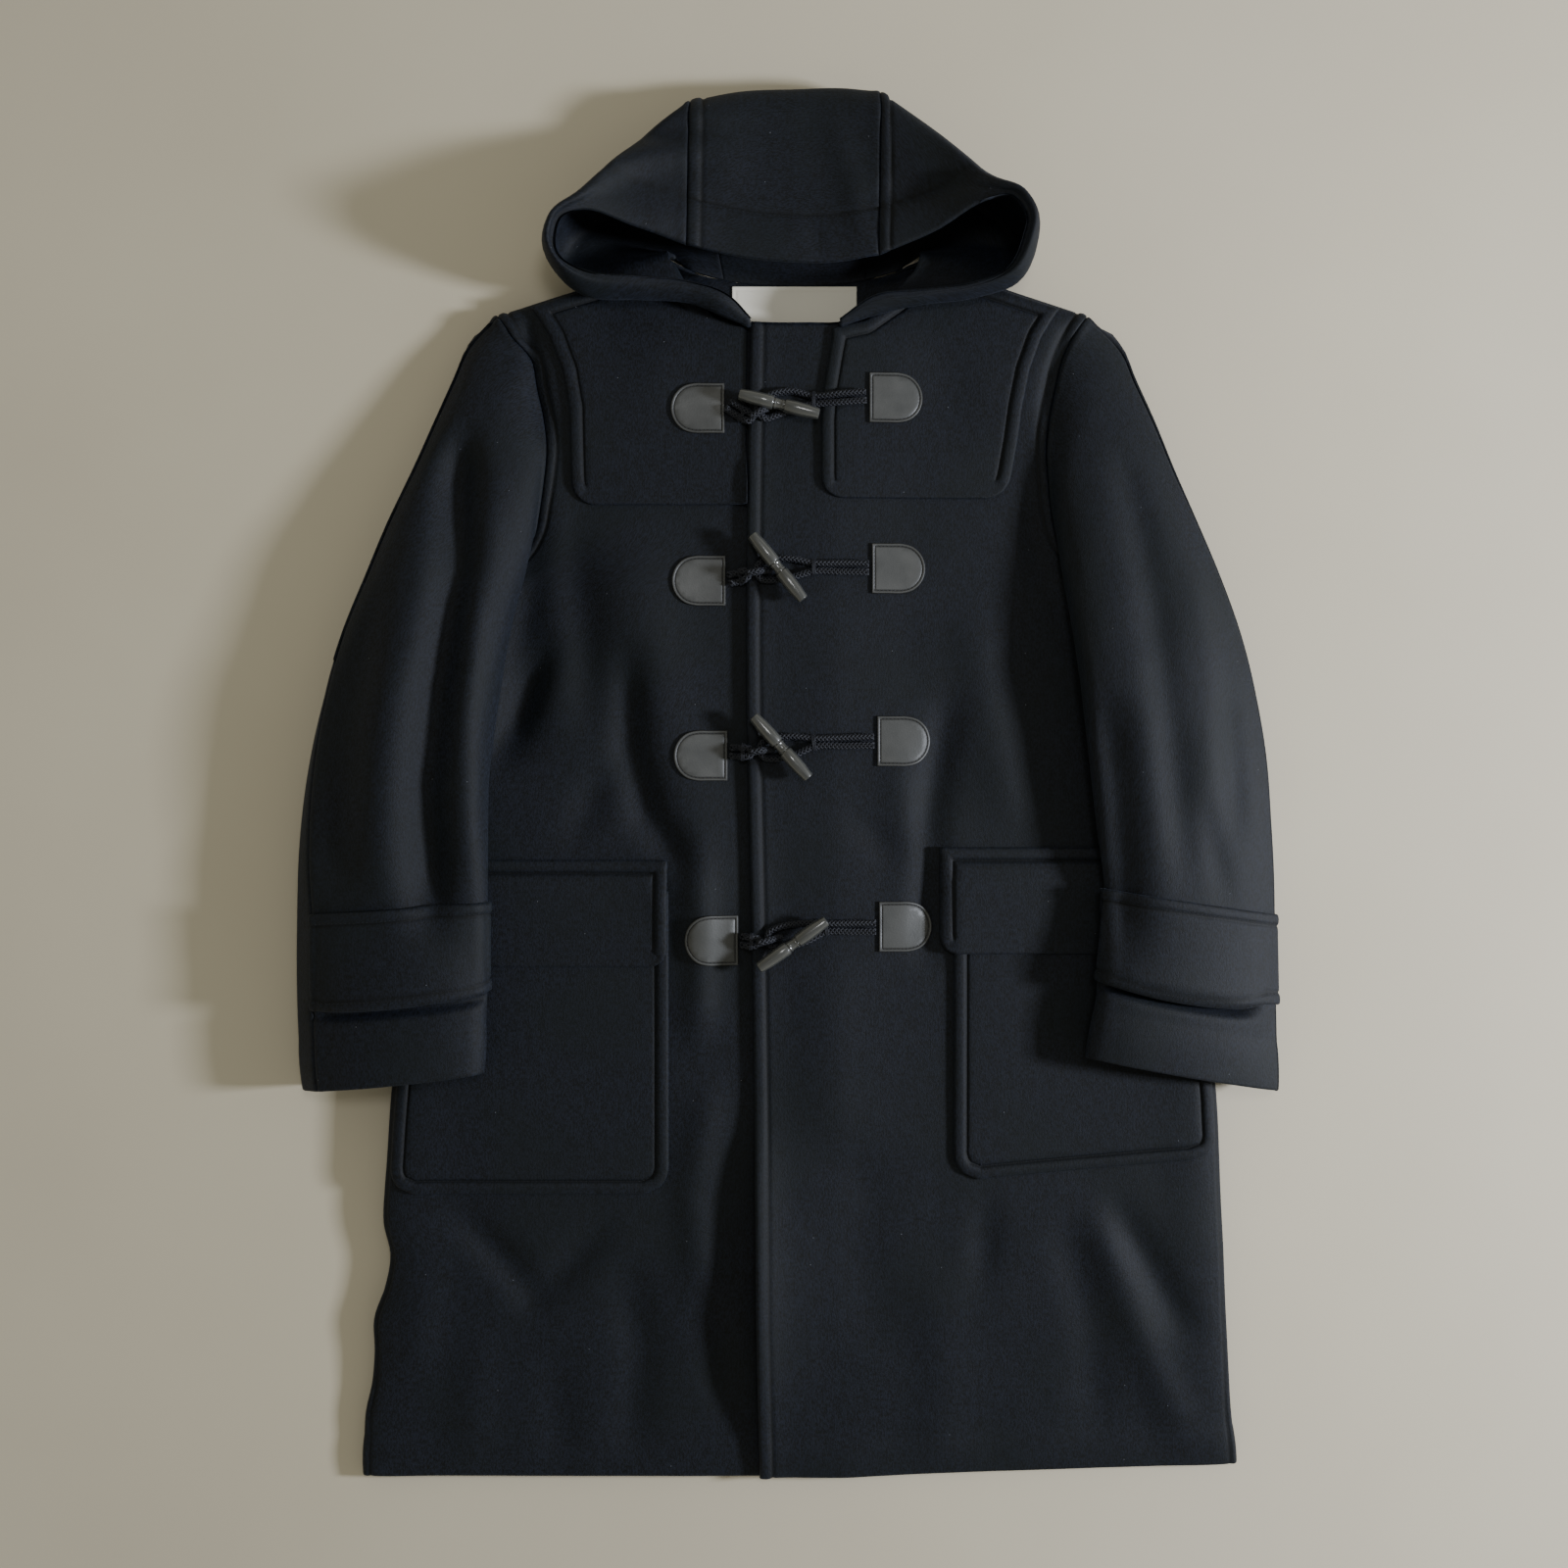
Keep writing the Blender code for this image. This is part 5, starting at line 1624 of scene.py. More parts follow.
    def build(self, grids: Grids, body: Body, ground: Ground) -> Panels:
        """Lay out both sleeves and their straps.

        Args:
            grids: The outer points of the back and the fronts.
            body: The body's sizes.
            ground: The finished cloth that the sleeves lie on.

        Returns:
            The panels by name.
        """
        nodes = [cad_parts[f"{piece}_{side.value}"]
                 for piece in ("front", "pocket", "pocket_flap") for side in Side]
        solid = Ground().add(*nodes)
        reliefs = (body.relief, self.relief)
        panels = {}
        for side in Side:
            outer = self.grid(side, grids, body, solid)
            if side is Side.RIGHT:
                outer = outer[::-1]
                cuff, arm = Edge.FIRST_ROW, Edge.LAST_ROW
            else:
                cuff, arm = Edge.LAST_ROW, Edge.FIRST_ROW
            under = np.r_[self.forearm_seam : outer.shape[1], 0, 1]
            shape = self.kept_clear(ground)
            on = (f"front_{side.value}", f"pocket_{side.value}", f"pocket_flap_{side.value}")
            for part, columns in (("upper", slice(1, self.forearm_seam + 1)), ("under", under)):
                seen = part == "upper"
                panel = Panel(
                    f"{part}_sleeve_{side.value}", outer[:, columns], 0.005 if seen else 0.007, reliefs,
                    {cuff: self.hem}, (arm, cuff) if seen else (), self.fine_band, on, shape,
                )
                panel.lay()
                panels[panel.node] = panel
            first, last = self.strap_rows
            rows = slice(first, last) if side is Side.LEFT else slice(-last, -first)
            coarse = outer[rows, 1 : len(self.across) + 1]
            if side is Side.RIGHT:
                coarse = coarse[::-1, ::-1]
            strap = Panel(
                f"cuff_strap_{side.value}", coarse, cell=0.004, reliefs=reliefs, fine=tuple(Edge),
                welts={Edge.FIRST_ROW: self.strap_welt, Edge.LAST_ROW: self.strap_welt},
                rests_on=(f"upper_sleeve_{side.value}",), shape=self.strap_shape,
            )
            strap.lay()
            panels[strap.node] = strap
        return panels


# The hood


@dataclass(frozen=True)
class Station:
    """One section of the hood.

    Attributes:
        edge: Its face edge.
        fold: Its fold in plan.
        top: Height over the fold.
        low: Height under it.
        neck: The neck seam; without one, the next column of the back neck.
    """

    edge: Spot
    fold: Plan
    top: float
    low: float
    neck: Spot | None = None


@dataclass(frozen=True)
class Hood:
    """A three-piece hood, folded back on itself: brim above, neck below."""

    stations: tuple[Station, ...] = tuple(Station(*mm(*row)) for row in (
        ((-30, 375.5, 33), (-30, 370), 32, 26.5, (-32, 376, 26)),
        ((-47, 390.5, 45), (-50, 377), 43, 26.5, (-50, 384, 26.5)),
        ((-81, 401, 50), (-81, 388), 47, 26.5, (-74, 399, 26.5)),
        ((-120, 403, 56), (-120, 390), 52, 27, (-85, 408, 26.5)),
        ((-157, 404, 64), (-162, 392), 60, 27, (-92, 417, 26)),
        ((-176.5, 412, 70), (-180, 403.5), 70, 20, (-96, 429, 24)),
        ((-181.5, 426, 74), (-194.5, 429), 78, 4, (-96.5, 433, 12)),
        ((-177.5, 440, 76), (-189, 447), 80, 0, (-93, 433.5, 4)),
        ((-160, 449, 72), (-164, 471.5), 76, 0, (-85, 427.5, 0)),
        ((-120, 442, 56), (-122, 519), 50, 0),
        ((-81, 431, 45), (-79, 552), 40, 0),
        ((-40, 423, 41), (-38, 560.5), 36, 0),
        ((0, 419, 40), (6, 562.5), 35, 0),
        ((40, 419, 41), (44, 563), 36, 0),
        ((72, 423, 45), (74, 559), 40, 0),
        ((116, 439, 56), (120, 524), 52, 0),
        ((154, 457, 72), (164, 484), 74, 0, (95, 427.5, 0)),
        ((174, 457, 78), (188.5, 464), 82, 0, (103, 433.5, 4)),
        ((184, 443, 78), (197.5, 446), 82, 0, (106.5, 433, 12)),
        ((183, 430, 72), (196, 426), 74, 15, (106, 429, 24)),
        ((174, 410, 60), (183, 403), 60, 27, (102, 417, 26)),
        ((148, 399, 52), (150, 392), 49, 27, (96, 410, 26.5)),
        ((110, 395, 47), (110, 387), 44, 27, (88, 401, 26.5)),
        ((70, 392, 43), (72, 380), 40, 26.5, (70, 389, 26.5)),
        ((41, 375.5, 34), (41, 370), 33, 28, (43, 377, 26)),
    ))
    seams: tuple[int, int] = (10, 14)
    steps: int = 12
    fold: float = 0.011
    nearest: float = 0.45  # of the way to an edge: the most that the fold takes

    brim: Welt = Welt(*mm(38, 1.2, 1, 1.8, 1.5))
    centre_seam: Welt = Welt(*mm(11, 1.4, 1.1, 1.5, 1.5))
    side_seam: Welt = Welt(*mm(9.5, 1.4, 1.1, 1.5, 1.5))
    relief: Relief = Relief(tuple(Crease(*mm(*row)) for row in (
        # under the crown on the wearer's right, where the cloth is pushed in
        (((-155, 505), (-115, 520), (-80, 522)), -6.7, 10),
        (((-150, 482), (-110, 500), (-78, 506)), 4.5, 10),
        (((-52, 520), (-48, 470)), 1.8, 18),
        (((36, 530), (52, 480), (60, 440)), 2.4, 12),
        (((76, 470), (120, 476), (160, 480)), -6, 11),
        (((68, 450), (72, 432)), -2.4, 6),
        (((20, 450), (24, 430)), -1.5, 6),
        (((-120, 458), (-80, 448)), 2.1, 9),
    )), swells=mm((60, 0.9), (26, 0.4)), low=0.024, high=0.036, seed=23)

    def grid(self, back: Array, body: Body) -> Array:
        """Outer points of the hood. Rows run round the face, columns back to the neck.

        Args:
            back: The back's outer points.
            body: The body's sizes.

        Returns:
            Rows x columns x 3 points.
        """
        on_back = iter(back[-1][len(body.fold_turns) + 4 :])
        outer = []
        for station in self.stations:
            edge = np.array(station.edge)
            neck = np.array(station.neck) if station.neck else next(on_back)
            fold = np.array(station.fold)
            toward = []
            for end, height in ((edge, station.top), (neck, station.low)):
                run = end[:2] - fold
                inset = min(self.fold, self.nearest * np.linalg.norm(run))
                toward.append(np.array([*(fold + run / np.linalg.norm(run) * inset), height]))
            above, below = toward
            middle = np.array([*fold, (station.top + station.low) / 2])
            knots = np.array([edge, (edge + above) / 2, above, middle, below, (below + neck) / 2, neck])
            wanted = np.linspace(0, len(knots) - 1, self.steps + 1)
            row = spline(knots[:, None], np.arange(len(knots), dtype=float), wanted)
            outer.append(row[:, 0])
        grid = np.array(outer)
        grid[:, :, 2] = np.maximum(grid[:, :, 2], 0.0)
        return grid

    def build(self, back: Array, body: Body) -> Panels:
        """Lay out the hood's centre strip and sides.

        Args:
            back: The back's outer points.
            body: The body's sizes.

        Returns:
            The panels by name.
        """
        outer = self.grid(back, body)[:, ::-1]
        first, last = self.seams
        panels = {}
        for node, rows, seam in (
            ("hood_right", slice(0, first + 1), SEAM),
            ("hood_centre", slice(first, last + 1), self.centre_seam),
            ("hood_left", slice(last, None), self.side_seam),
        ):
            panel = Panel(
                node, outer[rows], cell=0.0042, reliefs=(self.relief,), band=0.042,
                welts={Edge.LAST_COLUMN: self.brim, Edge.FIRST_ROW: seam},
                fine=(Edge.FIRST_ROW, Edge.LAST_COLUMN), rests_on=("back", "front_right", "front_left"),
            )
            panel.lay()
            panels[node] = panel
        return panels


# Trim that is dropped onto the cloth


@dataclass
class Trim:
    """A flat piece with the outline of its CAD node, dropped onto what lies below it.

    Attributes:
        node: The CAD node.
        ground: What lies below.
        finish: Its finish.
        thickness: Its thickness away from the edge.
        welt: How it swells beside its edge.
        plain: The ways inwards from the edges that have no welt.
        squared: Radius of the lower corner at +X that is made square.
        cell: Size of its faces.
        rests_on: Pieces that it lies on; not used.
        taut: Rounds of pulling it flat over steps in what lies below.
    """

    node: str
    ground: Ground
    finish: Finish = WOOL
    thickness: float = CLOTH
    welt: Welt = Welt(*mm(10.5, 1.4, 1.2, 1.6, 1.3))
    plain: tuple[Plan, ...] = ()
    squared: float = 0.0
    cell: float = 0.0045
    rests_on: tuple[str, ...] = ()
    taut: int = 40
    outline: Array = field(init=False)
    inward: Array = field(init=False)

    CORNER = math.radians(50)
    STEP = 0.003
    MITRE = 0.045  # length over which the points close up towards a corner
    STRAIGHT = 0.006  # longest step that the smoothing may bend
    ROUNDING = (0.15, 0.4, 0.75, 1.2)  # rings over the rounded edge, in its radii
    GROOVE = (-0.9, -0.4, 0.0, 0.4, 0.9, 1.7)  # rings at the stitches, in the line's half widths
    REACH = 0.0015  # how far round a point it rests on what is below
    RIM = 0.0006  # width of the cut edge that shows
    FACING = (0.35, 0.75)  # how squarely an edge faces a plain way: not at all, and wholly

    def lay(self) -> bpy.types.Object:
        """Returns:
            The piece.
        """
        self.trace()
        bm = self.sheet()
        plan = np.array([v.co[:2] for v in bm.verts])
        edges = np.array([[v.index for v in edge.verts] for edge in bm.edges])
        rest = self.settled(plan, edges)
        off, welted = self.to_edge(plan)
        plain = Welt(round=self.welt.round)
        rise = self.welt.rise(off) * welted + plain.rise(off) * (1 - welted)
        inner = np.column_stack([plan, rest])
        outer = np.column_stack([plan, rest + self.thickness + rise])
        area = sum(face.calc_area() for face in bm.faces)
        order = closed_wall(bm, outer, inner)
        index = order % len(plan)
        item = place_mesh(bm, f"{self.node}_trim", self.finish)
        on_top = order < len(plan)
        grain = np.column_stack([plan, np.zeros(len(plan))]) + (0.41 * len(self.node), 1.7, 0.0)
        store(item, "grain", grain[index])
        store(item, "groove", np.where(on_top, (self.welt.closeness(off) * welted)[index], 0.0))
        store(item, "rim", np.where(on_top, np.exp(-((off / self.RIM) ** 2))[index], 1.0))
        belong(item, self.finish, self.node)
        return item

    def trace(self) -> None:
        """Find the upper side's outline, with its rounded stretches made smooth."""
        bm = bmesh.new()
        bm.from_mesh(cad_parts[self.node].data)
        bmesh.ops.remove_doubles(bm, verts=list(bm.verts), dist=1e-5)
        bm.normal_update()
        low = [f for f in bm.faces if f.normal.z < 0.5]
        bmesh.ops.delete(bm, geom=low, context="FACES")
        border = {edge for edge in bm.edges if edge.is_boundary}
        start = min({v for edge in border for v in edge.verts}, key=lambda v: v.co.x + v.co.y)
        loop, here = [], start
        while here is not start or not loop:
            loop.append((here.co.x, here.co.y))
            edge = next(e for e in here.link_edges if e in border)
            border.discard(edge)
            here = edge.other_vert(here)
        bm.free()
        points = np.array(loop)
        up, back = points[:, 1] - points[:, 1].min(), points[:, 0].max() - points[:, 0]
        corner = (up < self.squared) & (back < self.squared)
        points[corner & (back < up), 0] = points[:, 0].max()
        points[corner & (back >= up), 1] = points[:, 1].min()
        if self.squared:
            points[np.argmax(points[:, 0] - points[:, 1])] = points[:, 0].max(), points[:, 1].min()
        self.round_off(points)

    def round_off(self, points: Array) -> None:
        """Smooth the outline between its corners and find the way inwards from each point.

        Args:
            points: The rough outline.
        """
        x, y = points.T
        if (x * np.roll(y, -1) - y * np.roll(x, -1)).sum() < 0:
            points = points[::-1]
        steps = np.roll(points, -1, axis=0) - points
        counts = np.maximum(1, (np.linalg.norm(steps, axis=1) / self.STRAIGHT).astype(int))
        points = np.array([
            spot + step * part / count
            for spot, step, count in zip(points, steps, counts) for part in range(count)
        ])
        turn = turns(points - np.roll(points, 1, axis=0), np.roll(points, -1, axis=0) - points)
        corners = [int(i) for i in np.nonzero(np.abs(turn) > self.CORNER)[0]] or [0]
        count = len(points)
        outline, inward = [], []
        for here, beyond in zip(corners, [*corners[1:], corners[0] + count]):
            stretch = points[[i % count for i in range(here, beyond + 1)]]
            at = lengths(stretch)
            marks = np.linspace(0.0, at[-1], max(3, round(at[-1] / self.STEP) + 1))
            smooth = spline(stretch[:, None], at, marks)[:, 0]
            ahead = unit(np.gradient(smooth, axis=0))
            mitre = min(self.MITRE, at[-1] / 2)
            pull = math.tan(turn[here] / 2) * np.clip(1 - marks / mitre, 0, 1)
            pull = pull - math.tan(turn[beyond % count] / 2) * np.clip(1 - (at[-1] - marks) / mitre, 0, 1)
            across = np.column_stack([-ahead[:, 1], ahead[:, 0]])
            outline.append(smooth[:-1])
            inward.append((across + pull[:, None] * ahead)[:-1])
        self.outline, self.inward = np.concatenate(outline), np.concatenate(inward)

    def rings(self) -> list[float]:
        """Distances from the outline at which the sheet has a ring of edges.

        Returns:
            The distances, rising.
        """
        line, inset = self.welt.line, self.welt.inset
        near = [self.welt.round * radii for radii in self.ROUNDING]
        swell = list(np.linspace(near[-1], inset - 1.6 * line, 5))[1:]
        return near + swell + [inset + line * widths for widths in self.GROOVE]

    def sheet(self) -> bmesh.types.BMesh:
        """The piece as a flat sheet: its outline, rings inside it and a grid in the middle.

        Returns:
            The sheet, in the plan.
        """
        bm = bmesh.new()
        count, band = len(self.outline), 0.01
        bmesh.ops.create_circle(bm, cap_ends=True, segments=count, radius=1.0)
        bm.faces.ensure_lookup_table()
        core = bm.faces[0]
        rings = [0.0, *self.rings()]
        for _ in rings[1:]:
            bmesh.ops.inset_region(
                bm, faces=[core], thickness=band, use_boundary=True, use_even_offset=True
            )
        for vertex in bm.verts:
            x, y, _ = vertex.co
            ring = rings[round((1 - math.hypot(x, y)) / band)]
            at = round(math.atan2(-x, y) / (2 * math.pi) * count) % count
            vertex.co = (*(self.outline[at] + ring * self.inward[at]), 0.0)
        low, high = self.outline.min(axis=0), self.outline.max(axis=0)
        middle = [core]
        for axis in (0, 1):
            lines = round((high[axis] - low[axis]) / self.cell)
            for mark in np.linspace(low[axis], high[axis], lines + 1)[1:-1]:
                spot, normal = Vector((0, 0, 0)), Vector((0, 0, 0))
                spot[axis], normal[axis] = mark, 1.0
                parts = {e for f in middle for e in f.edges} | {v for f in middle for v in f.verts}
                cut = bmesh.ops.bisect_plane(
                    bm, geom=[*middle, *parts], plane_co=spot, plane_no=normal, dist=1e-6
                )
                middle = [g for g in cut["geom"] if isinstance(g, bmesh.types.BMFace)]
        bm.verts.index_update()
        return bm

    def settled(self, plan: Array, edges: Array) -> Array:
        """Height of the piece's underside: it rests on what is below and spans the steps.

        Args:
            plan: The sheet's points.
            edges: The two points of each edge.

        Returns:
            The height at each point.
        """
        floor = np.array([self.ground.height(x, y, self.REACH) for x, y in plan]) + LIE / 2
        rest = floor.copy()
        count = np.bincount(edges.ravel(), minlength=len(plan))
        for _ in range(self.taut):
            total = np.bincount(edges[:, 0], rest[edges[:, 1]], len(plan))
            total += np.bincount(edges[:, 1], rest[edges[:, 0]], len(plan))
            rest = np.maximum(floor, (rest + total / count) / 2)
        return rest

    def to_edge(self, plan: Array) -> tuple[Array, Array]:
        """Measure spots against the outline.

        Args:
            plan: The spots.

        Returns:
            The distance of each from the outline, and how much of a welt it has: all, or none
            beside a plain edge.
        """
        closed = np.concatenate([self.outline, self.outline[:1]])
        off, share = near_path(plan[:, 0], plan[:, 1], closed.tolist())
        at = lengths(closed)
        at = at / at[-1]
        welted = np.ones(len(plan))
        for way in self.plain:
            facing = self.inward @ way
            welted *= 1 - smooth_step(np.interp(share, at, [*facing, facing[0]]), *self.FACING)
        return off, welted

    def stitch_line(self) -> list[list[Plan]]:
        """The outline's own line of stitches, in stretches.

        Returns:
            The points of each stretch.
        """
        line = self.outline + self.welt.inset * self.inward
        line = np.concatenate([line, line[:1]])
        welted = self.to_edge(line)[1] > 0.5
        stretches: list[list[Plan]] = [[]]
        for (x, y), kept in zip(line.tolist(), welted):
            if kept:
                stretches[-1].append((x, y))
            elif stretches[-1]:
                stretches.append([])
        return [stretch for stretch in stretches if len(stretch) > 2]


# Sewing


@dataclass(frozen=True)
class Seamwork:
    """Rows of small stitches, each row laid on the cloth below it.

    Attributes:
        spacing: From one stitch to the next.
        length: Length of a stitch.
        radius: Radius of its thread, drawn a little thick so that it shows.
        sunk: How far a stitch lies in the cloth.
    """

    spacing: float = 0.0036
    length: float = 0.0025
    radius: float = 0.0003
    sunk: float = 0.0002

    def sew(self, name: str, rows: Iterable[Sequence[Sequence[float]]], ground: Ground) -> bpy.types.Object:
        """Join all the stitches of some rows in one mesh.

        Args:
            name: The piece's name.
            rows: The points of each row; only their places in plan are used.
            ground: The finished surfaces.

        Returns:
            The stitches.
        """
        bm = bmesh.new()
        for row in rows:
            spots = np.array([spot[:2] for spot in row])
            at = lengths(spots)
            for mark in np.arange(self.spacing / 2, at[-1], self.spacing):
                ends = [
                    self.on_cloth(spots, at, mark + offset, ground)
                    for offset in (-self.length / 2, self.length / 2)
                ]
                self.stitch(bm, *ends)
        return belong(place_mesh(bm, name, YARN), YARN)

    def on_cloth(self, spots: Array, at: Array, mark: float, ground: Ground) -> Vector:
        """The place on the cloth at a running length of a row."""
        x, y = np.interp(mark, at, spots[:, 0]), np.interp(mark, at, spots[:, 1])
        return Vector((x, y, ground.height(x, y) - self.sunk))

    def stitch(self, bm: bmesh.types.BMesh, start: Vector, end: Vector) -> None:
        """Add one stitch: a drawn-out ball of thread between two places.

        Args:
            bm: The mesh of all the stitches.
            start: Its start.
            end: Its end.
        """
        ahead = end - start
        turn = ahead.to_track_quat("X", "Z").to_matrix().to_4x4()
        size = Matrix.Diagonal((ahead.length / 2, self.radius, self.radius, 1.0))
        matrix = Matrix.Translation((start + end) / 2) @ turn @ size
        bmesh.ops.create_icosphere(bm, subdivisions=1, radius=1.0, matrix=matrix)


# Toggles, their cords and patches


@dataclass(frozen=True)
class Fastening:
    """One toggle, its two patches and its cords.

    Attributes:
        angle: The toggle's turn in degrees.
        toggle_patch: Flat side and level of the patch on the under front.
        loop_patch: Flat side and level of the patch on the top front.
        waist: The toggle's waist.
        whipping: Where the loop's strands are bound.
        eye: The middle of its eye.
        end: Its far end.
        rise: How far its cord leaves the patch above the middle.
    """

    angle: float
    toggle_patch: Plan
    loop_patch: Plan
    waist: Plan
    whipping: Plan
    eye: Plan
    end: Plan
    rise: float


@dataclass(frozen=True)
class Fastenings:
    """Four horn toggles on plaited cords, held by D-shaped leather patches."""

    all: tuple[Fastening, ...] = tuple(Fastening(angle, *mm(*row)) for angle, *row in (
        (-14, (-51.4, 304.9), (65, 313.1), (-7.4, 305.5), (20, 310.5), (-7, 310.4), (-23.5, 299), 2),
        (-51.7, (-50.6, 166.3), (67.2, 176.1), (-8.5, 175.3), (20, 176.5), (-8.5, 175.3), (-25, 172), 1),
        (-48.2, (-49, 25.3), (71.5, 37), (-5.8, 31.8), (20, 35.8), (-5.8, 31.8), (-22.5, 29), 3),
        (35.2, (-40.4, -123.6), (73, -112.6), (3.5, -125.4), (30, -113), (1.2, -119.2), (-16.5, -122.8), 0),
    ))
    strands: float = 0.0033  # half the spacing of two strands side by side
    eye: float = 0.0075  # half the spacing round the toggle
    eye_start: float = 0.35  # of the way from the toggle to the whipping
    shank: tuple[Plan, ...] = (  # place along it, and height in cords
        (0.0072, 1.0), (0.0032, 1.04), (0.0, 1.04), (-0.005, 0.62), (-0.0085, 0.18), (-0.0115, 0.0),
    )
    reach: float = 0.004  # how far round a point a cord rests on what is below
    # half a toggle, from its waist to its end: place along it and radius
    turned: tuple[Plan, ...] = mm(
        (1.05, 4.2), (2.17, 4.3), (3.01, 4.8), (3.5, 4.7), (3.7, 4.3), (4.4, 4.3), (4.8, 5.2), (5.4, 5.6),
        (14.85, 5.656), (23.76, 5.376), (27, 4.9), (31.8, 4.6), (32.6, 4.3), (33, 3.5), (33, 2.1),
    )
    sharp: float = 38.0  # degrees from which an edge of the turning stays sharp
    toggle_steps: int = 48
    yarns: int = 8
    yarn_radius: float = 0.00082
    yarn_ring: float = 0.002  # radius at which the yarns lie
    yarn_over: float = 0.00036  # how far they pass over and under one another
    plait_length: float = 0.013  # of one turn of a yarn
    plait_step: float = 0.0011
    patch_welt: Welt = Welt(*mm(2.4, 0.2, 0.5, 0.6, 0.6))
    patch_thickness: float = 0.0016
    patch_stitch: Seamwork = Seamwork(spacing=0.0031, length=0.0021, radius=0.0003, sunk=0.0)

    def build(self, ground: Ground) -> Ground:
        """Make all the fastenings.

        Args:
            ground: The finished fronts and yokes.

        Returns:
            The ground that the patches make.
        """
        patches, rows = [], []
        for number in range(1, len(self.all) + 1):
            for end in ("toggle", "loop"):
                patch = Trim(f"{end}_patch_{number}", ground, LEATHER, self.patch_thickness,
                             self.patch_welt, cell=0.004, taut=10)
                patches.append(patch.lay())
                rows += patch.stitch_line()
        leather = Ground().add(*patches)
        self.patch_stitch.sew("patch_stitches", rows, leather)
        below = ground.joined(leather)
        for number, fastening in enumerate(self.all, 1):
            self.toggle(number, fastening)
            self.cords(number, fastening, below)
        return leather

    def toggle(self, number: int, fastening: Fastening) -> None:
        """Turn one toggle: a rod that thins to its ends, with a ringed waist.

        Args:
            number: Number of the fastening, from the neck down.
            fastening: Its places.
        """
        right, end = self.turned, self.turned[-1][0]
        profile = [(end, 0.0), *right[::-1], *((-x, r) for x, r in right), (-end, 0.0)]
        bm = bmesh.new()
        line = [bm.verts.new((x, 0.0, r)) for x, r in profile]
        edges = [bm.edges.new(pair) for pair in zip(line, line[1:])]
        bmesh.ops.spin(
            bm, geom=line + edges, cent=(0, 0, 0), axis=(1, 0, 0), angle=2 * math.pi,
            steps=self.toggle_steps, use_merge=True,
        )
        bmesh.ops.remove_doubles(bm, verts=list(bm.verts), dist=0.00002)
        bmesh.ops.recalc_face_normals(bm, faces=list(bm.faces))
        grain = np.array([v.co for v in bm.verts]) + (0.2 * number, 0.0, 0.0)
        low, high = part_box(f"toggle_{number}")
        place = Matrix.Translation((*fastening.waist, (low.z + high.z) / 2))
        turn = Matrix.Rotation(math.radians(fastening.angle), 4, "Z")
        bmesh.ops.transform(bm, matrix=place @ turn, verts=list(bm.verts))
        item = place_mesh(bm, f"turned_toggle_{number}", HORN)
        item.data.set_sharp_from_angle(angle=math.radians(self.sharp))
        store(item, "grain", grain)
        belong(item, HORN, f"toggle_{number}")

    def cords(self, number: int, fastening: Fastening, below: Ground) -> None:
        """Plait one loop, the cord of its toggle, and bind them.

        Args:
            number: Number of the fastening, from the neck down.
            fastening: Its places.
            below: What the cords lie on.
        """
        eye, end = np.array(fastening.eye), np.array(fastening.end)
        whipping = np.array(fastening.whipping)
        start = np.array(fastening.loop_patch) - (CORD, 0)
        stops = [(start, self.strands), ((start + whipping) / 2, self.strands),
                 (whipping, self.strands), (eye + (whipping - eye) * self.eye_start, self.eye)]
        left, right = [], []
        for (here, spread), (beyond, _) in zip(stops, stops[1:] + [(eye, self.eye)]):
            beside = self.directions(here, beyond)[1]
            left.append(here - beside * spread)
            right.append(here + beside * spread)
        ahead, beside = self.directions(eye, end)
        turn = self.half_turn(end - ahead * self.eye, ahead, beside, self.eye, 7)
        loop = self.lifted(left + turn + right[::-1], below)
        self.plait(f"plaited_loop_{number}", loop, f"loop_cord_{number}")

        start = np.array(fastening.toggle_patch) + (CORD, fastening.rise)
        knot = end + ahead * self.shank[0][0]
        run, across = self.directions(start, knot)
        centre = knot - run * self.strands
        spots = [start + (centre - start) * share for share in (0.0, 0.25, 0.5, 0.75)]
        turn = self.half_turn(centre, run, across, self.strands, 5)
        route = [p - across * self.strands for p in spots] + turn
        route += [p + across * self.strands for p in spots[::-1]]
        self.plait(f"plaited_cord_{number}", self.lifted(route, below), f"toggle_cord_{number}")

        lifts = [lift * (2 * CORD + LIE) for _, lift in self.shank]
        shank = self.lifted([end + ahead * step for step, _ in self.shank], below, lifts)
        self.plait(f"plaited_shank_{number}", shank, f"toggle_shank_{number}")
        self.bind(f"loop_binding_{number}", whipping, self.directions(whipping, eye)[0], below)
        self.bind(f"cord_binding_{number}", spots[-1], run, below)

    @staticmethod
    def directions(start: Array, end: Array) -> tuple[Array, Array]:
        """Unit direction of a line in plan, and the one to its right."""
        ahead = unit(end - start)
        return ahead, np.array([ahead[1], -ahead[0]])

    @staticmethod
    def half_turn(centre: Array, ahead: Array, beside: Array, radius: float, count: int) -> list[Array]:
        """Points round the far end of a loop, from its left side to its right."""
        turns = np.linspace(-math.pi / 2, math.pi / 2, count)
        return [centre + radius * (ahead * math.cos(a) + beside * math.sin(a)) for a in turns]

    def lifted(
        self, points: Sequence[Array], below: Ground, lifts: Sequence[float] | None = None
    ) -> Array:
        """A cord's points in plan, laid on what is below them.

        Args:
            points: The cord's points in plan.
            below: What it lies on.
            lifts: Height of each point over that.

        Returns:
            The points.
        """
        lifts = lifts or [0.0] * len(points)
        return np.array([
            (*spot, below.height(*spot, self.reach) + CORD + LIE / 2 + lift)
            for spot, lift in zip(points, lifts)
        ])

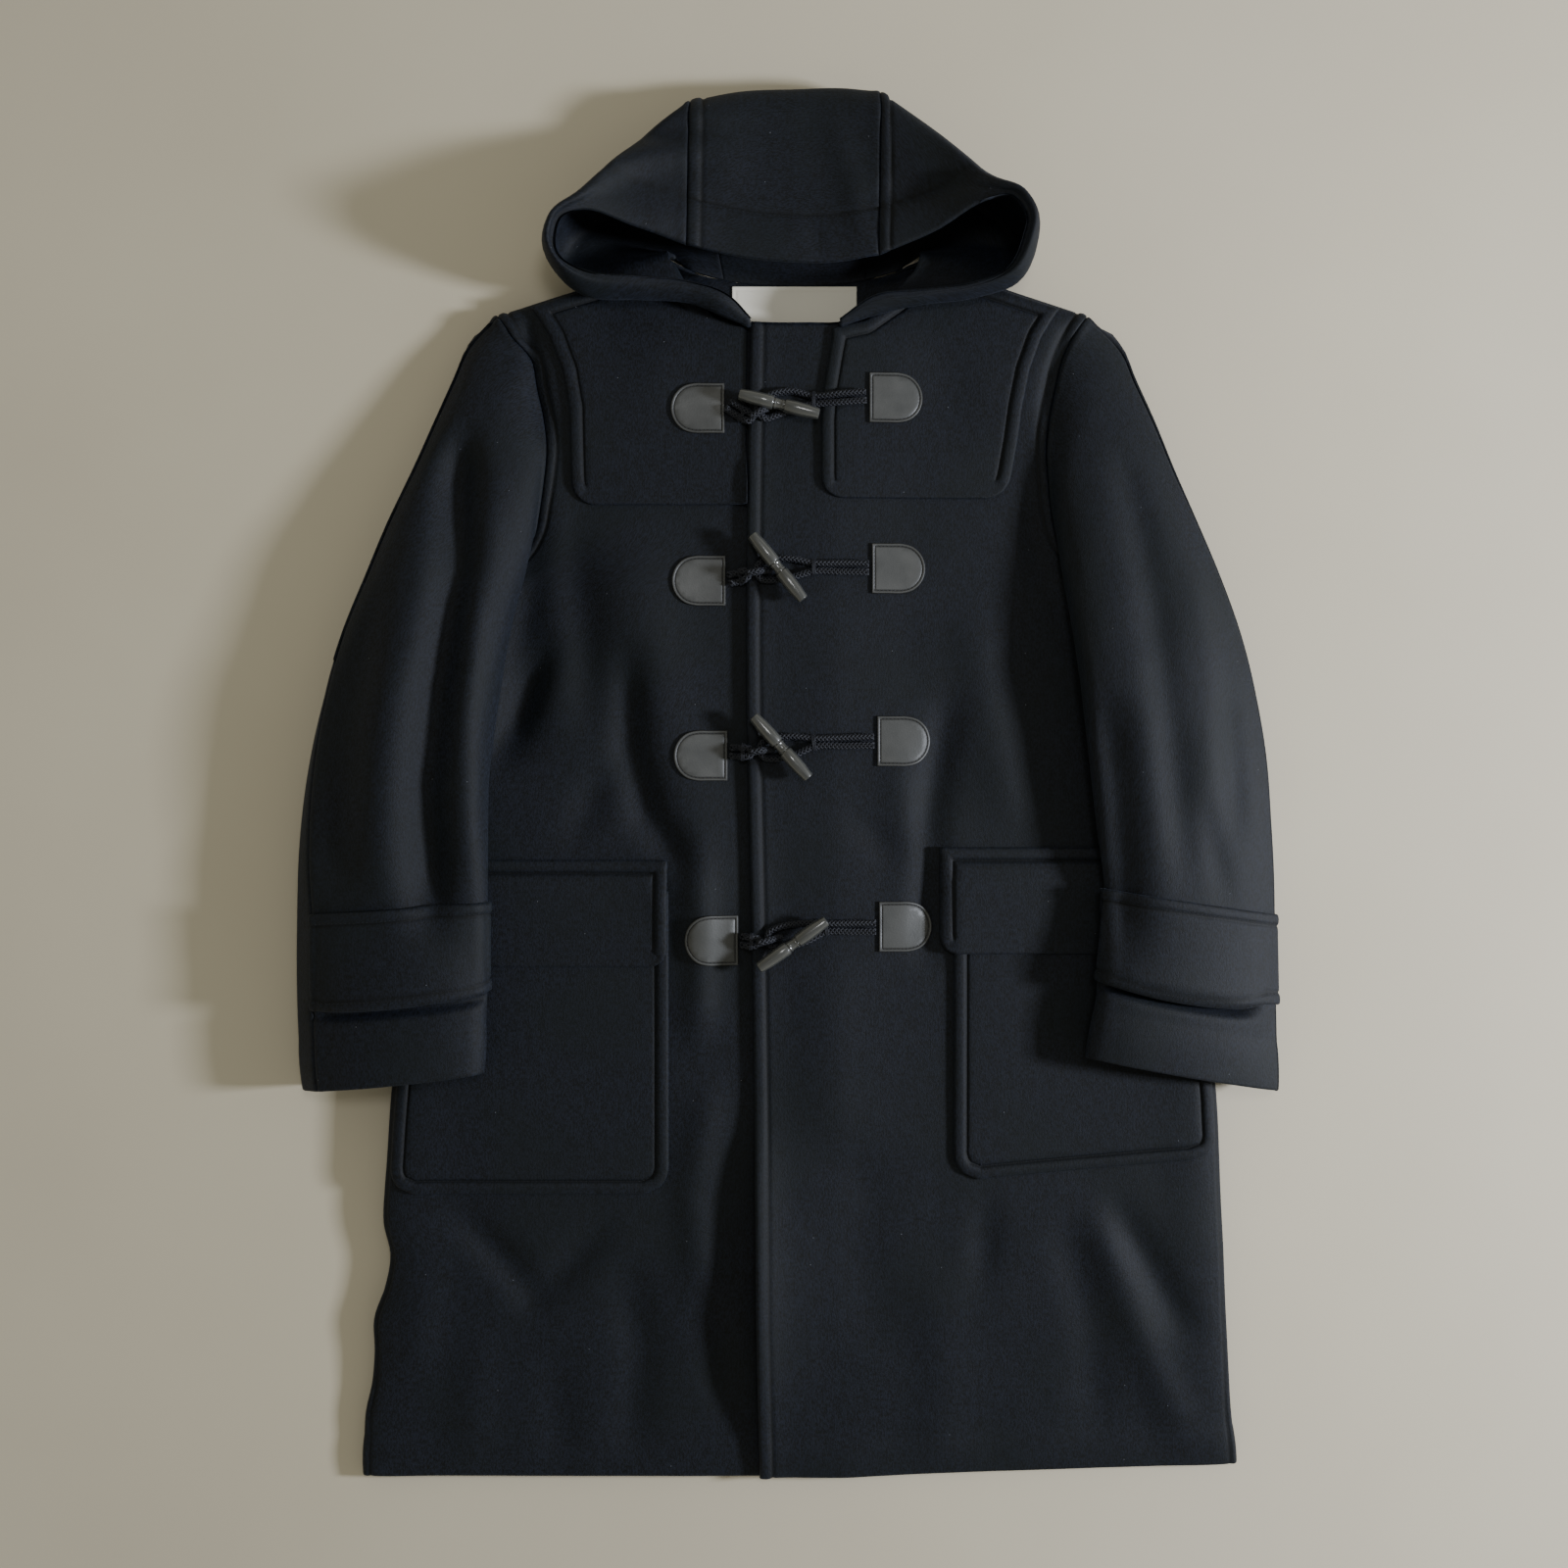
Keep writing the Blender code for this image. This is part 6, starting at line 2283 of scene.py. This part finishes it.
    def plait(self, name: str, route: Array, node: str) -> None:
        """Plait a round cord along a route.

        The yarns wind both ways round the cord, and each passes over and under in turn.

        Args:
            name: The piece's name.
            route: The cord's points.
            node: The CAD node that it stands for.
        """
        at = lengths(route)
        marks = np.linspace(0.0, at[-1], round(at[-1] / self.plait_step))
        line = spline(route[:, None], at, marks)[:, 0]
        ahead = unit(np.gradient(line, axis=0))
        beside = unit(np.cross(ahead, (0.0, 0.0, 1.0)))
        upward = np.cross(beside, ahead)
        pairs = self.yarns // 2
        yarns = []
        wave = np.cos(8 * math.pi * marks / self.plait_length - math.pi / 2)
        for yarn in range(self.yarns):
            hand = 1 if yarn < pairs else -1
            shift = yarn % pairs * 2 * math.pi / pairs + (0 if hand > 0 else math.pi / pairs)
            angle = hand * 2 * math.pi * marks / self.plait_length + shift
            radius = self.yarn_ring + hand * self.yarn_over * wave
            wound = line + (radius * np.cos(angle))[:, None] * beside
            wound += (radius * np.sin(angle))[:, None] * upward
            yarns.append(wound)
        self.wind(name, yarns, self.yarn_radius, node)

    @staticmethod
    def wind(name: str, yarns: Sequence[Array], radius: float, *nodes: str) -> None:
        """Make one piece of some round yarns.

        Args:
            name: The piece's name.
            yarns: The points of each yarn.
            radius: Their radius.
            *nodes: The CAD nodes that it replaces.
        """
        curve = bpy.data.curves.new(name, "CURVE")
        curve.dimensions = "3D"
        curve.bevel_depth = radius
        curve.bevel_resolution = 1
        curve.use_fill_caps = bool(nodes)
        for points in yarns:
            yarn = curve.splines.new("POLY")
            yarn.points.add(len(points) - 1)
            yarn.points.foreach_set("co", np.column_stack([points, np.ones(len(points))]).ravel())
        drawn = add_object(name + "_line", curve)
        bm = bmesh.new()
        bm.from_mesh(drawn.evaluated_get(bpy.context.evaluated_depsgraph_get()).to_mesh())
        bpy.data.objects.remove(drawn)
        belong(place_mesh(bm, name, YARN), YARN, *nodes)

    def bind(self, name: str, spot: Array, run: Array, below: Ground) -> None:
        """Bind two strands with a few turns of thread.

        Args:
            name: The piece's name.
            spot: The middle of the binding in plan.
            run: The direction of the strands.
            below: What they lie on.
        """
        turns, pitch, thread = 3, 0.001, 0.00045
        angle = np.linspace(0.0, 2 * math.pi * turns, 20 * turns)
        across = np.array([run[1], -run[0]])
        wide, high = self.strands + CORD + thread, CORD + thread
        step = pitch * (angle / (2 * math.pi) - turns / 2)
        base = below.height(*spot, self.reach) + CORD + LIE / 2
        plan = spot + step[:, None] * run + (wide * np.cos(angle))[:, None] * across
        points = np.column_stack([plan, base + high * np.sin(angle)])
        self.wind(name, [points], thread)


# Topstitching and trim of the whole coat


@dataclass(frozen=True)
class Dressing:
    """The yokes, pockets, flaps and label, and the rows of topstitching."""

    thread: Seamwork = Seamwork()
    yoke_corner: float = 0.021  # of the wearer's right yoke, where the top front covers it
    flap_taut: int = 220
    label_thickness: float = 0.0009
    hood_shown: int = 40  # points of the hood's seams that show, up to the brim
    label_welt: Welt = Welt(*mm(3, 0, 0.2, 0.4))
    neck_band: tuple[Plan, ...] = mm((-22.5, 366.5), (10, 366.8), (39.5, 366))
    neck_seam: tuple[Plan, ...] = mm((43, 370.5), (56, 373.5), (70, 379), (86, 388), (90.5, 391.5))

    def lay(self, ground: Ground) -> tuple[Ground, list[Trim]]:
        """Drop the yokes, pockets and flaps onto the fronts.

        Args:
            ground: The finished fronts.

        Returns:
            The ground with all of them on it, and the pieces.
        """
        made, top = [], Ground().joined(ground)
        for side in Side:
            name = side.value
            front = (f"front_{name}",)
            under = side is Side.RIGHT  # its front edge runs in under the top front
            plain = ((0.0, 1.0), (-1.0, 0.0)) if under else ((0.0, 1.0),)
            squared = self.yoke_corner * under
            yoke = Trim(f"yoke_{name}", ground, plain=plain, squared=squared, rests_on=front)
            pocket = Trim(f"pocket_{name}", ground, rests_on=front)
            made += [yoke, pocket]
            top.add(yoke.lay())
            body = Ground().add(pocket.lay())
            top = top.joined(body)
            flap = Trim(f"pocket_flap_{name}", ground.joined(body), plain=((0.0, 1.0),),
                        rests_on=(*front, f"pocket_{name}"), taut=self.flap_taut)
            made.append(flap)
            top.add(flap.lay())
        return top, made

    def label(self) -> None:
        """Lay the blank label inside the back of the neck."""
        floor = Ground().add(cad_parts["back"])
        Trim("neck_label", floor, TAPE, self.label_thickness, self.label_welt, cell=0.005,
             rests_on=("back",), taut=0).lay()

    def topstitch(
        self, trims: list[Trim], body: Body, panels: Panels, sleeves: Panels, hood: Panels, top: Ground
    ) -> None:
        """Sew every row of stitches that shows.

        Args:
            trims: The yokes, pockets and flaps.
            body: The body's sizes.
            panels: The fronts.
            sleeves: The sleeves and straps.
            hood: The hood's pieces.
            top: The fronts with their trim.
        """
        self.thread.sew("trim_stitches", [r for trim in trims for r in trim.stitch_line()], top)
        edge = panels["left"].line_inside(Edge.FIRST_COLUMN, body.placket_welt.inset)
        self.thread.sew("front_stitches", [edge, self.neck_band, self.neck_seam], top)
        for side in Side:
            strap = sleeves[f"cuff_strap_{side.value}"]
            rows = [
                strap.line_inside(end, Sleeves.strap_welt.inset)
                for end in (Edge.FIRST_ROW, Edge.LAST_ROW)
            ]
            item = bpy.data.objects[f"{strap.node}_cloth"]
            self.thread.sew(f"strap_stitches_{side.value}", rows, Ground().add(item))
        pieces = [bpy.data.objects[f"{name}_cloth"] for name in hood]
        rows = [
            hood["hood_centre"].line_inside(Edge.FIRST_ROW, Hood.centre_seam.inset)[-self.hood_shown :],
            hood["hood_left"].line_inside(Edge.FIRST_ROW, Hood.side_seam.inset)[-self.hood_shown :],
            hood["hood_centre"].line_inside(Edge.LAST_COLUMN, Hood.brim.inset),
        ]
        self.thread.sew("hood_stitches", rows, Ground().add(*pieces))


# The studio


@dataclass(frozen=True)
class Lamp:
    """A square soft lamp that faces the middle of the coat.

    Attributes:
        name: Its name.
        height: Its height over the floor in degrees.
        turn: Its direction in degrees from +X towards the hood.
        away: Its distance.
        size: Its side.
        light: Its light on a surface that faces it at the middle, in watts a square metre.
        colour: Its colour.
    """

    name: str
    height: float
    turn: float
    away: float
    size: float
    light: float
    colour: str

    def hang(self) -> None:
        """Add the lamp to the scene."""
        lamp = bpy.data.lights.new(self.name, "AREA")
        lamp.size = self.size
        lamp.energy = self.light * math.pi * self.away**2
        lamp.color = linear(self.colour)[:3]
        item = add_object(self.name, lamp)
        high, turn = math.radians(self.height), math.radians(self.turn)
        way = Vector((math.cos(high) * math.cos(turn), math.cos(high) * math.sin(turn), math.sin(high)))
        item.location = way * self.away
        item.rotation_euler = way.to_track_quat("Z", "Y").to_euler()


@dataclass(frozen=True)
class Studio:
    """A plain pale floor, a low key lamp, a lamp overhead, a soft fill and the camera."""

    floor_size: float = 8.0
    camera_spot: Spot = (-0.0035, 0.0025, 1.35)
    lens: float = 37.73
    sensor: float = 36.0
    lamps: tuple[Lamp, ...] = (
        Lamp("key", 25.5, -3.0, 2.4, 0.3, 4.75, "#eef3ff"),
        Lamp("ceiling", 74.0, 70.0, 2.3, 0.45, 0.42, "#ffffff"),
    )
    fill_colour: str = "#ece9d6"
    fill_low: float = 0.78  # the fill's strength at the horizon
    fill_high: float = 0.2  # and overhead

    def build(self) -> None:
        """Set the floor, the lights and the camera."""
        bm = bmesh.new()
        bmesh.ops.create_grid(bm, x_segments=1, y_segments=1, size=self.floor_size / 2)
        floor = place_mesh(bm, "floor", PlainFloor())
        for lamp in self.lamps:
            lamp.hang()
        world = bpy.data.worlds.new("studio")
        bpy.context.scene.world = world
        world.use_nodes = True
        # the sides of the room send more light than its ceiling does
        tree = world.node_tree
        way = add_node(tree, "TexCoord")["Generated"]
        up = add_node(tree, "SeparateXYZ", {0: way})["Z"]
        strength = add_node(tree, "MapRange", {0: up, 3: self.fill_low, 4: self.fill_high})[0]
        fill = tree.nodes["Background"]
        fill.inputs["Color"].default_value = linear(self.fill_colour)
        tree.links.new(strength, fill.inputs["Strength"])
        view = bpy.data.cameras.new("camera")
        view.lens = self.lens
        view.sensor_width = self.sensor
        camera = add_object("camera", view)
        camera.location = self.camera_spot
        bpy.context.scene.camera = camera


def main() -> None:
    """Build the coat from the body outwards, then the studio."""
    logging.basicConfig(level=logging.INFO, format="%(name)s: %(message)s")
    body = Body()
    grids, fronts, ground = body.build()
    dressing = Dressing()
    top, trims = dressing.lay(ground)
    sleeves = Sleeves().build(grids, body, top)
    hood = Hood().build(grids["back"], body)
    Fastenings().build(top)
    dressing.label()
    dressing.topstitch(trims, body, fronts, sleeves, hood, top)
    Studio().build()


if __name__ == "__main__":
    main()
